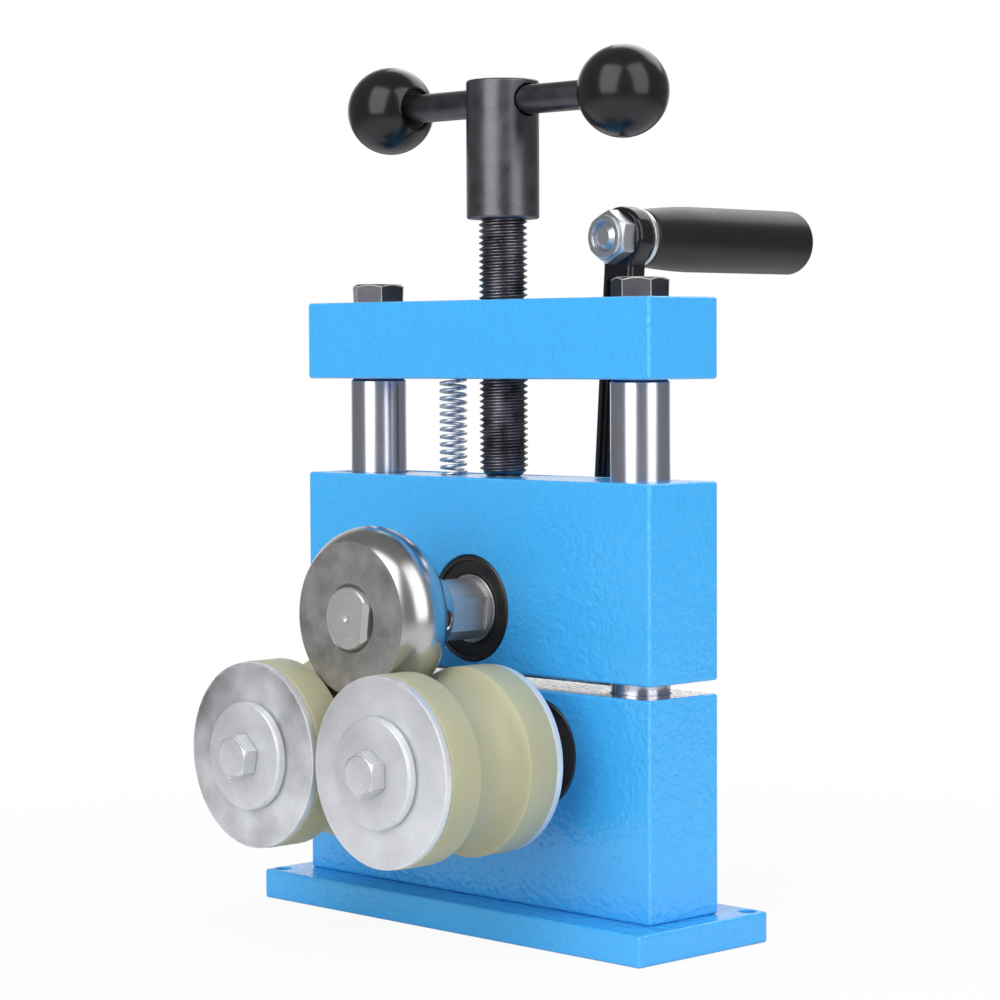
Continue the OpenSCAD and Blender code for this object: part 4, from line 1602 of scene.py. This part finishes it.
@dataclass
class BendingRoller:
    """The crowned steel roller on its flatted shaft."""

    finishes: Finishes
    front_y: float = -68.45
    crown_w: float = 19.3
    crown_r: float = 12.6
    crown_at: float = 16.3
    bore_r: float = 10.04
    bore_chamfer: float = 1.0
    hub_r: float = 13.04
    hub_l: float = 14.0
    hole_d: float = 6.88
    hole_inset: float = 4.3
    hole_end: float = 4.0
    hole_flare: float = 0.35
    proud: float = 1.5
    end_chamfer: float = 0.5
    neck_r: float = 10.0
    neck_end: float = -16.0
    journal_r: float = 8.46
    flat_x: float = 8.5
    flat_turn: float = 7.5
    flat_gap: float = 0.3
    drill_r: float = 1.4
    drill_tip_r: float = 0.49
    drill_l: float = 0.6

    @property
    def lathe(self) -> Lathe:
        """The roller's axis."""
        return Lathe(Vector((0.0, 0.0, DRIVE_Z)), Axis.Y)

    @property
    def clocking(self) -> Matrix:
        """Move from a frame where the shaft's flat faces +X at the origin to its place."""
        turned = Matrix.Rotation(math.radians(self.flat_turn), 4, "Y")
        return Matrix.Translation(self.lathe.at * MM) @ turned

    def steel(self, name: str, roughness: float, **more: float) -> Material:
        """Steel turned round the roller's axis, with other values of the turned finish."""
        return self.finishes.turned_steel(name, 0.0, DRIVE_Z, roughness, **more)

    def build(self) -> None:
        """Makes the roller and its shaft."""
        polished = self.steel("roller_steel", roughness=0.2, rings=1500.0, depth=0.002, trough=0.94)
        faced = self.steel("roller_face_steel", roughness=0.36, rings=2600.0, depth=0.003, stained=0.75,
                           cloud_scale=150.0, metallic=0.88)
        ground = self.steel("shaft_steel", roughness=0.3, depth=0.003, metallic=0.72)
        end = self.steel("shaft_end_steel", roughness=0.4, rings=1500.0, depth=0.03, trough=0.75,
                         metallic=0.6)
        roller = fit(self.make_roller(), polished, "crank", "bending_roller")
        shaft = fit(self.make_shaft(), ground, "crank", "drive_shaft")
        for piece, finish in ((roller, faced), (shaft, end)):
            refinish(piece, finish, -Axis.Y.along, -self.front_y - END_SLACK, within=0.95)

    def make_roller(self) -> Piece:
        """Crowned ring with a hub behind it and a hole for the set screw.

        Returns:
            The roller.
        """
        middle = self.front_y + self.crown_w / 2
        back = self.front_y + self.crown_w
        end = back + self.hub_l
        reach = math.degrees(math.asin(self.crown_w / 2 / self.crown_r))
        crown = arc((self.crown_at, middle), self.crown_r, -reach, reach, steps=28)
        corners = [(self.bore_r, self.front_y + self.bore_chamfer, 0.1),
                   (self.bore_r + self.bore_chamfer, self.front_y, 0.05), (*crown[0], 0.0)]
        corners += [(r, h, 0.0) for r, h in crown[1:-1]]
        corners += [(*crown[-1], 0.3), (self.hub_r, back, 0.8), (self.hub_r, end, 0.7),
                    (self.bore_r, end, 0.4)]
        roller = self.lathe.turn("crowned_roller", rounded(corners, closed=True), steps=128)
        mouth = Vector((0.0, end - self.hole_inset, 0.0))
        flare = self.hole_flare
        hole = Lathe(mouth, Axis.X).bore(self.hole_d, self.hub_r - flare, self.hole_end, flare)
        settle(hole, self.clocking)
        carve(roller, hole)
        smooth(roller, degrees=30.0)
        return roller

    def make_shaft(self) -> Piece:
        """Shaft with a centre drilling, a chamfered end and a flat for the set screw.

        Returns:
            The shaft.
        """
        back = cad_box("drive_shaft")[1].y
        front = self.front_y - self.proud
        outline = rounded([
            (0.0, front + self.drill_l, 0.0), (self.drill_tip_r, front + self.drill_l, 0.1),
            (self.drill_r, front, 0.2), (self.neck_r - self.end_chamfer, front, 0.1),
            (self.neck_r, front + self.end_chamfer, 0.1), (self.neck_r, self.neck_end, 0.1),
            (self.journal_r, self.neck_end, 0.0), (self.journal_r, back, 0.8), (0.0, back, 0.0)], steps=3)
        shaft = self.lathe.turn("flatted_shaft", outline, steps=96)
        wide = 3 * self.neck_r
        flat = rounded_box("flat", Vector((self.flat_x, front - 5 * LAP, -wide)),
                           Vector((wide, self.neck_end - self.flat_gap, wide)), rounding=0.2)
        settle(flat, self.clocking)
        carve(shaft, flat)
        corner = self.clocking @ (Vector((self.flat_x, self.front_y, 0.0)) * MM)
        edit_all(shaft)
        bpy.ops.mesh.bisect(plane_co=corner, plane_no=self.clocking.to_3x3() @ Vector((1.0, -1.0, 0.0)),
                            use_fill=True, clear_outer=True)
        close_up()
        let_go()
        smooth(shaft, degrees=25.0)
        return shaft


@dataclass
class NylonRoller:
    """One lower roller: grooved nylon between two discs, with a washer, a bolt and its shaft."""

    finishes: Finishes
    side: Side
    bolt_degrees: float
    smudged: float
    nylon_d: float = 60.0
    washer_r: float = 17.25
    undercut: float = 0.8
    lip: float = 1.0
    groove_r: float = 13.0
    groove_at: float = 37.6
    bore_d: float = 17.0
    bolt_hole_d: float = 8.1
    bolt_af: float = 13.0
    bolt_d: float = 8.0
    bolt_l: float = 16.0
    bolt_chamfer: float = 0.5
    collar_d: float = 21.0
    shaft_gap: float = 0.04
    clip_depth: float = 0.5
    washer_smudged: float = 0.45

    @property
    def body(self) -> str:
        """The CAD body that the roller turns with."""
        return self.side.word + "_idler"

    def node(self, name: str) -> str:
        """A CAD node of this roller."""
        return f"{self.side.word}_{name}"

    @property
    def lathe(self) -> Lathe:
        """The roller's axis."""
        low, high = cad_box(self.node("roller"))
        return Lathe(Vector(((low.x + high.x) / 2, 0.0, (low.z + high.z) / 2)), Axis.Y)

    def build(self, nylon: Material, worn: Material) -> None:
        """Makes every piece of the roller.

        Args:
            nylon: the finish that both rollers share.
            worn: the finish of the bolt's worn edges.
        """
        at = self.lathe.at
        fit(self.make_nylon(), nylon, self.body, self.node("roller"))
        for name in ("front_disc", "rear_disc"):
            low, high = cad_box(self.node(name))
            across = high.x - low.x
            plate = self.node(name + "_plate")
            disc = self.lathe.ring(plate, across, self.bore_d, low.y, high.y, rounding=0.2, steps=96)
            zinc = self.finishes.galvanised(self.node(name + "_zinc"), at, across / 2, self.smudged)
            fit(disc, zinc, self.body, self.node(name))
        zinc = self.finishes.galvanised(self.node("washer_zinc"), at, self.washer_r, self.washer_smudged)
        fit(self.make_washer(), zinc, self.body, self.node("washer"))
        fit(self.make_bolt(zinc, worn), zinc, self.body, self.node("bolt"))
        steel = self.finishes.turned_steel(self.node("shaft_steel"), at.x, at.z, roughness=0.25)
        fit(self.make_shaft(), steel, self.body, self.node("shaft"))

    def make_nylon(self) -> Piece:
        """Nylon ring with the round groove that faces the bending roller.

        Returns:
            The ring.
        """
        low, high = cad_box(self.node("roller"))
        r = self.nylon_d / 2
        middle = (low.y + high.y) / 2
        half = math.degrees(math.acos((self.groove_at - r) / self.groove_r))
        groove = arc((self.groove_at, middle), self.groove_r, 180.0 + half, 180.0 - half, steps=32)
        corners = [(self.bore_d / 2, low.y, 0.0), (r, low.y, 0.8), (*groove[0], self.lip)]
        corners += [(a, b, 0.0) for a, b in groove[1:-1]]
        corners += [(*groove[-1], self.lip), (r, high.y, 0.8), (self.bore_d / 2, high.y, 0.0)]
        return self.lathe.turn(self.node("nylon"), rounded(corners, closed=True), steps=128)

    def make_washer(self) -> Piece:
        """Thick washer with a well rounded front edge.

        Returns:
            The washer.
        """
        low, high = cad_box(self.node("washer"))
        r = self.washer_r
        hole = self.bolt_hole_d / 2
        foot = r - self.undercut
        corners = [(hole, low.y, 0.2), (r, low.y, 0.9), (r, high.y - self.undercut, 0.1),
                   (foot, high.y - self.undercut, 0.0), (foot, high.y, 0.0), (hole, high.y, 0.1)]
        outline = rounded(corners, closed=True, steps=6)
        return self.lathe.turn(self.node("thick_washer"), outline, steps=96)

    def make_bolt(self, *finishes: Material) -> Piece:
        """Hexagon bolt in the shaft's end.

        Args:
            finishes: the finish of the bolt and that of its worn edges.

        Returns:
            The bolt.
        """
        seat = cad_box(self.node("washer"))[0].y
        height = seat - cad_box(self.node("bolt"))[0].y
        at = self.lathe.at
        head = hexagon("head", self.bolt_af, height, self.bolt_chamfer, *finishes)
        place(head, Vector((at.x, seat, at.z)), -Axis.Y.along, self.bolt_degrees)
        shank = self.lathe.bar("shank", self.bolt_d, seat - LAP, seat + self.bolt_l, rounding=0.6, steps=32)
        return join(self.node("hex_bolt"), head, shank)

    def make_shaft(self) -> Piece:
        """Shaft with a collar in front of the block and a groove for the circlip behind it.

        Returns:
            The shaft.
        """
        low, high = cad_box(self.node("shaft"))
        disc = cad_box(self.node("rear_disc"))[1].y
        clip_low, clip_high = cad_box(self.node("circlip"))
        journal = self.bore_d / 2 - self.shaft_gap
        collar = self.collar_d / 2
        groove = journal - self.clip_depth
        front, back = cad_box("lower_block")[0].y, high.y
        outline = rounded([
            (0.0, low.y, 0.0), (journal, low.y, 0.3), (journal, disc, 0.0), (collar, disc, 0.4),
            (collar, front, 0.4), (journal, front, 0.0), (journal, clip_low.y, 0.0),
            (groove, clip_low.y, 0.0), (groove, clip_high.y, 0.0), (journal, clip_high.y, 0.0),
            (journal, back, 0.8), (0.0, back, 0.0)])
        return self.lathe.turn(self.node("stub_shaft"), outline)


@dataclass
class Crank:
    """The hand crank: a channelled arm on the drive shaft and a grip that turns on its spindle."""

    finishes: Finishes
    lean: float = 3.4
    length: float = 122.6
    eye_r: float = 10.5
    eye_steps: int = 40
    eye_cut: int = 5
    hub_r: float = 14.0
    hub_w: float = 15.6
    eye_w: float = 13.4
    arm_y: float = 47.0
    arm_t: float = 8.4
    hub_y: float = 26.0
    hub_end: float = 56.9
    shaft_r: float = 8.5
    channel: float = 2.0
    channel_r: float = 2.2
    rib: float = 3.0
    draft: float = 0.7
    nut_af: float = 16.0
    nut_hex_h: float = 5.6
    nut_h: float = 7.0
    nut_collar_r: float = 7.3
    nut_chamfer: float = 0.35
    spindle_d: float = 10.0
    turning_gap: float = 0.08
    end_r: float = 2.7
    end_cone: float = 1.4
    head_l: float = 4.0
    socket_r: float = 2.2
    socket_l: float = 2.0
    edge: float = 2.2
    fillet: float = 6.0
    neck_r: float = 9.7
    swell_steps: int = 12
    grip_end_r: float = 2.5
    recess_r: float = 6.8
    recess_l: float = 7.3

    def build(self) -> None:
        """Makes the arm, the nut, the spindle, its washer and the grip."""
        fit(self.make_arm(), self.finishes.enamel(), "crank", "crank_arm")
        zinc = self.finishes.bright_zinc("crank_zinc")
        fit(self.make_nut(), zinc, "crank", "grip_nut")
        fit(self.make_spindle(), zinc, "crank", "grip_spindle")
        low, high = cad_box("grip_washer")
        hole_d = self.spindle_d + self.turning_gap
        washer = self.eye.ring("grip_ring", high.x - low.x, hole_d, low.y, high.y, rounding=0.4)
        fit(washer, zinc, "crank", "grip_washer")
        plastic = self.finishes.black_plastic("grip_plastic", roughness=0.3)
        fit(self.make_grip(), plastic, "grip", "crank_grip")

    @property
    def eye(self) -> Lathe:
        """The axis of the arm's eye, round which the grip turns."""
        a, h = math.radians(self.lean), self.length
        return Lathe(Vector((h * math.sin(a), 0.0, DRIVE_Z + h * math.cos(a))), Axis.Y)

    def half_width(self, h: float) -> float:
        """Half the arm's width at a distance from the hub."""
        return (self.hub_w + (self.eye_w - self.hub_w) * h / self.length) / 2

    def plate(self, name: str, outline: Outline, y: float, t: float) -> Piece:
        """Flat plate in the upright arm's frame.

        Args:
            name: the new piece's name.
            outline: closed outline, across the arm and away from the hub.
            y: front of the plate.
            t: its thickness.

        Returns:
            The plate, with its hub on the origin.
        """
        plate = draw_chain(name, [Vector((a, y, h)) * MM for a, h in outline])
        bpy.ops.mesh.select_all(action="SELECT")
        bpy.ops.mesh.edge_face_add()
        bpy.ops.mesh.extrude_region_move(TRANSFORM_OT_translate={"value": (0.0, t * MM, 0.0)})
        close_up()
        let_go()
        return plate

    def make_arm(self) -> Piece:
        """Arm with a round eye, a hub and a channel in each face.

        Returns:
            The arm.
        """
        tip = math.degrees(math.acos(self.half_width(self.length) / self.eye_r))
        root = self.half_width(0.0)
        eye = arc((0.0, self.length), self.eye_r, -tip, 180.0 + tip, self.eye_steps)
        corners = [(-root, 0.0, 0.0), (root, 0.0, 0.0), (*eye[0], self.fillet)]
        corners += [(a, h, 0.0) for a, h in eye[self.eye_cut:-self.eye_cut]] + [(*eye[-1], self.fillet)]
        arm = self.plate("channelled_arm", rounded(corners, closed=True)[:-1], self.arm_y, self.arm_t)
        soften(arm, self.edge, steps=5, degrees=60.0)
        lathe = Lathe(Vector(), Axis.Y)
        hub = lathe.bar("hub", 2 * self.hub_r, self.hub_y, self.hub_end, rounding=0.9, steps=96)
        carve(arm, hub, keep="UNION")
        start, end = self.hub_r + self.rib, self.length - self.eye_r - self.rib
        wide, narrow = self.half_width(start) - self.rib, self.half_width(end) - self.rib
        for face, sign in ((self.arm_y, 1.0), (self.arm_y + self.arm_t, -1.0)):
            sides = ((-wide, start), (wide, start), (narrow, end), (-narrow, end))
            outline = rounded([(a, h, self.channel_r) for a, h in sides], closed=True, steps=5)
            cutter = self.plate("channel", outline[:-1], face - sign * self.channel, sign * 2 * self.channel)
            soften(cutter, self.draft, steps=3, degrees=60.0)
            carve(arm, cutter)
        carve(arm, lathe.bar("shaft_hole", 2 * self.shaft_r, self.hub_y - LAP, self.hub_end + LAP))
        even_normals(arm)
        leaning = Matrix.Rotation(math.radians(self.lean), 4, "Y")
        settle(arm, Matrix.Translation((0.0, 0.0, DRIVE_Z * MM)) @ leaning)
        return arm

    def make_nut(self) -> Piece:
        """Lock nut with a round collar over its plastic ring.

        Returns:
            The nut.
        """
        eye = self.eye.at
        seat = Vector((eye.x, self.arm_y, eye.z))
        nut = hexagon("nut_hexagon", self.nut_af, self.nut_hex_h, self.nut_chamfer)
        collar_r = self.nut_collar_r
        hole = self.spindle_d / 2 + 0.1
        foot = self.nut_hex_h - LAP
        collar = upright().turn("nut_collar", rounded([
            (hole, foot, 0.0), (collar_r, foot, 0.0), (collar_r, self.nut_h, 0.5),
            (hole + 0.4, self.nut_h, 0.2), (hole, self.nut_h - 0.6, 0.1)], closed=True))
        lock_nut = join("lock_nut", nut, collar)
        place(lock_nut, seat, -Axis.Y.along, -self.lean)
        return lock_nut

    def make_spindle(self) -> Piece:
        """Spindle with a chamfered end in the nut and a flat head in the grip's far end.

        Returns:
            The spindle.
        """
        low, high = cad_box("grip_spindle")
        r = self.spindle_d / 2
        head_r = (high.x - low.x) / 2
        head = high.y - self.head_l
        floor = high.y - self.socket_l
        outline = rounded([
            (0.0, low.y, 0.0), (self.end_r, low.y, 0.15), (r, low.y + self.end_cone, 0.15), (r, head, 0.0),
            (head_r, head, 0.2), (head_r, high.y, 0.8), (self.socket_r, high.y, 0.1),
            (self.socket_r, floor, 0.1), (0.0, floor, 0.0)])
        return self.eye.turn("grip_axle", outline, steps=64)

    def make_grip(self) -> Piece:
        """Plastic grip that swells from its neck and is rounded at its far end.

        Returns:
            The grip.
        """
        low, high = cad_box("crank_grip")
        full_r = (high.x - low.x) / 2
        bore_r = self.spindle_d / 2 + self.turning_gap
        end_r = self.grip_end_r
        floor = high.y - self.recess_l
        shares = [k / self.swell_steps for k in range(self.swell_steps + 1)]
        swell = [(self.neck_r + (full_r - self.neck_r) * math.sin(math.pi / 2 * share),
                  low.y + (high.y - low.y) / 3 * share) for share in shares]
        dome = arc((full_r - end_r, high.y - end_r), end_r, 0.0, 90.0, steps=8)
        corners = [(bore_r, low.y, 0.3), (*swell[0], 1.0)]
        corners += [(a, b, 0.0) for a, b in swell[1:] + dome]
        corners += [(self.recess_r, high.y, 0.3), (self.recess_r, floor, 0.1), (bore_r, floor, 0.0)]
        return self.eye.turn("swelled_grip", rounded(corners, closed=True), steps=96)


@dataclass
class SmallParts:
    """CAD nodes that keep their shape and only get a finish."""

    finishes: Finishes

    def build(self) -> None:
        """Gives each node its finish."""
        zinc = self.finishes.bright_zinc("screw_zinc")
        oxide = self.finishes.black_oxide("clip_oxide")
        steel = self.finishes.turned_steel("pin_steel", 0.0, DRIVE_Z, roughness=0.27)
        ball_steel = self.finishes.turned_steel("ball_steel", 0.0, DRIVE_Z, roughness=0.12, rings=1200.0,
                                                depth=0.0005)
        bronze = self.finishes.bronze()
        for finish, nodes in (
                (zinc, ("base_screws",)),
                (oxide, ("left_circlip", "right_circlip", "roller_set_screw")),
                (steel, ("crank_spacer", "crank_pin")),
                (ball_steel, ("left_balls", "right_balls", "upper_balls")),
                (bronze, ("thrust_pad",))):
            for node in nodes:
                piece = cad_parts[node]
                piece.data.materials.clear()
                piece.data.materials.append(finish)
                log.info("%s: CAD shape with %s", node, finish.name)


# Studio and camera


@dataclass(frozen=True)
class Softbox:
    """A rectangular soft light: its place, width and height in metres and its power in watts."""

    name: str
    at: Place
    size: tuple[float, float]
    power: float
    aim: Place = (0.0, 0.0, 0.12)

    def build(self) -> None:
        """Hangs the light so that it faces the machine."""
        light = bpy.data.lights.new(self.name, "AREA")
        light.shape = "RECTANGLE"
        light.size, light.size_y = self.size
        light.energy = self.power
        lamp = bpy.data.objects.new(self.name, light)
        lamp.location = self.at
        way = Vector(self.aim) - Vector(self.at)
        lamp.rotation_euler = way.to_track_quat("-Z", "Y").to_euler()
        bpy.context.scene.collection.objects.link(lamp)


@dataclass
class Studio:
    """White floor and surround, a tall soft light on each side of the camera and one high behind."""

    floor_half: float = 4.0
    near: float = 0.35
    far: float = 1.1
    shadow_near: float = 0.12
    shadow_far: float = 0.45
    floor_glow: float = 0.92
    ambient: float = 0.45
    room: float = 0.22
    behind: Place = (-0.7134, 0.6991, 0.0)
    behind_edge: tuple[float, float] = (0.75, 0.95)
    lamps: tuple[Softbox, ...] = (
        Softbox("front_softbox", (0.18, -1.29, 0.86), (1.2, 1.9), 16.5),
        Softbox("side_softbox", (1.3, -0.02, 0.86), (1.0, 1.9), 11.8),
        Softbox("back_softbox", (-0.35, 1.1, 1.2), (1.4, 0.8), 6.0))

    def build(self) -> None:
        """Makes the floor, the world and the lamps."""
        bpy.context.scene.view_settings.view_transform = "Standard"
        self.make_floor()
        self.make_world()
        for lamp in self.lamps:
            lamp.build()

    @staticmethod
    def ray_kinds(tree: Tree) -> tuple[Socket, Socket]:
        """Masks of the camera's own rays and of those mirrored or let through on the way.

        Args:
            tree: the tree helper to add the masks to.

        Returns:
            The two masks.
        """
        rays = tree.add("ShaderNodeLightPath").outputs
        mirrored = tree.math("MAXIMUM", rays["Is Glossy Ray"], rays["Is Transmission Ray"])
        return rays["Is Camera Ray"], mirrored

    def make_floor(self) -> None:
        """Pale floor that keeps the shadow near the machine and runs out into white."""
        let_go()
        bpy.ops.mesh.primitive_plane_add(size=2 * self.floor_half)
        floor = bpy.context.object
        floor.name = "studio_floor"
        bpy.ops.object.mode_set(mode="EDIT")
        bpy.ops.mesh.subdivide(number_cuts=3)
        let_go()
        values = {"Base Color": (0.8, 0.8, 0.8, 1.0), "Roughness": 0.9, "Specular IOR Level": 0.0}
        material, tree, shader = begin("studio_floor", values)
        distance = tree.length(tree.add("ShaderNodeTexCoord").outputs["Object"])
        direct, mirrored = self.ray_kinds(tree)
        seen = tree.math("MAXIMUM", direct, mirrored)
        white_out = tree.spread(distance, self.shadow_near, self.shadow_far, self.floor_glow, 1.0)
        glow = tree.math("MULTIPLY", direct, white_out)
        away = tree.math("MAXIMUM", tree.spread(distance, self.near, self.far), glow)
        bright = tree.spread(mirrored, 0.0, 1.0, 1.0, self.room)
        white = tree.add("ShaderNodeEmission", {"Color": (1.0, 1.0, 1.0, 1.0), "Strength": bright}).outputs[0]
        inputs = {0: tree.math("MULTIPLY", away, seen), 1: shader.outputs[0], 2: white}
        mixed = tree.add("ShaderNodeMixShader", inputs).outputs[0]
        tree.feed(material.node_tree.nodes["Material Output"].inputs["Surface"], mixed)
        floor.data.materials.append(material)

    def make_world(self) -> None:
        """White surround for the camera; in reflections white behind the machine and grey elsewhere."""
        world = bpy.data.worlds.new("studio")
        bpy.context.scene.world = world
        world.use_nodes = True
        tree = Tree(world.node_tree)
        background = world.node_tree.nodes["Background"]
        direct, mirrored = self.ray_kinds(tree)
        way = tree.add("ShaderNodeTexCoord").outputs["Generated"]
        back = tree.add("ShaderNodeVectorMath", {0: way, 1: self.behind}, operation="DOT_PRODUCT")
        room = tree.spread(back.outputs["Value"], *self.behind_edge, self.room, 1.0)
        diffuse = tree.math("MULTIPLY", tree.math("SUBTRACT", 1.0, mirrored), self.ambient)
        lit = tree.math("ADD", tree.math("MULTIPLY", mirrored, room), diffuse)
        tree.feed(background.inputs["Color"], (1.0, 1.0, 1.0, 1.0))
        tree.feed(background.inputs["Strength"], tree.math("MAXIMUM", lit, direct))


@dataclass(frozen=True)
class Viewpoint:
    """The photograph's camera."""

    at: Place = (0.71398, -0.70164, 0.18780)
    azimuth: float = 45.579
    pitch: float = 2.762
    roll: float = -0.2435
    lens: float = 109.153
    sensor: float = 36.0

    def build(self) -> None:
        """Makes the camera."""
        azimuth, pitch, roll = (math.radians(a) for a in (self.azimuth, self.pitch, self.roll))
        turned = Matrix.Rotation(azimuth, 4, "Z") @ Matrix.Rotation(math.pi / 2 - pitch, 4, "X")
        data = bpy.data.cameras.new("photo_camera")
        data.lens = self.lens
        data.sensor_width = self.sensor
        camera = bpy.data.objects.new("photo_camera", data)
        camera.matrix_world = Matrix.Translation(self.at) @ turned @ Matrix.Rotation(roll, 4, "Z")
        bpy.context.scene.collection.objects.link(camera)
        bpy.context.scene.camera = camera


def main() -> None:
    """Builds the machine's looks, the studio and the camera."""
    logging.basicConfig(level=logging.INFO, format="%(name)s: %(message)s")
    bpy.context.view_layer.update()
    finishes = Finishes(Effects())
    worn = finishes.worn_edge()
    PaintedBody(finishes).build()
    GuidePosts(finishes).build(worn)
    Bearings(finishes).build()
    FeedScrew(finishes).build()
    ReturnSpring(finishes).build()
    BendingRoller(finishes).build()
    nylon = finishes.nylon()
    NylonRoller(finishes, Side.LEFT, bolt_degrees=-12.0, smudged=0.9).build(nylon, worn)
    NylonRoller(finishes, Side.RIGHT, bolt_degrees=0.0, smudged=0.38).build(nylon, worn)
    Crank(finishes).build()
    SmallParts(finishes).build()
    Studio().build()
    Viewpoint().build()
    let_go()


if __name__ == "__main__":
    main()
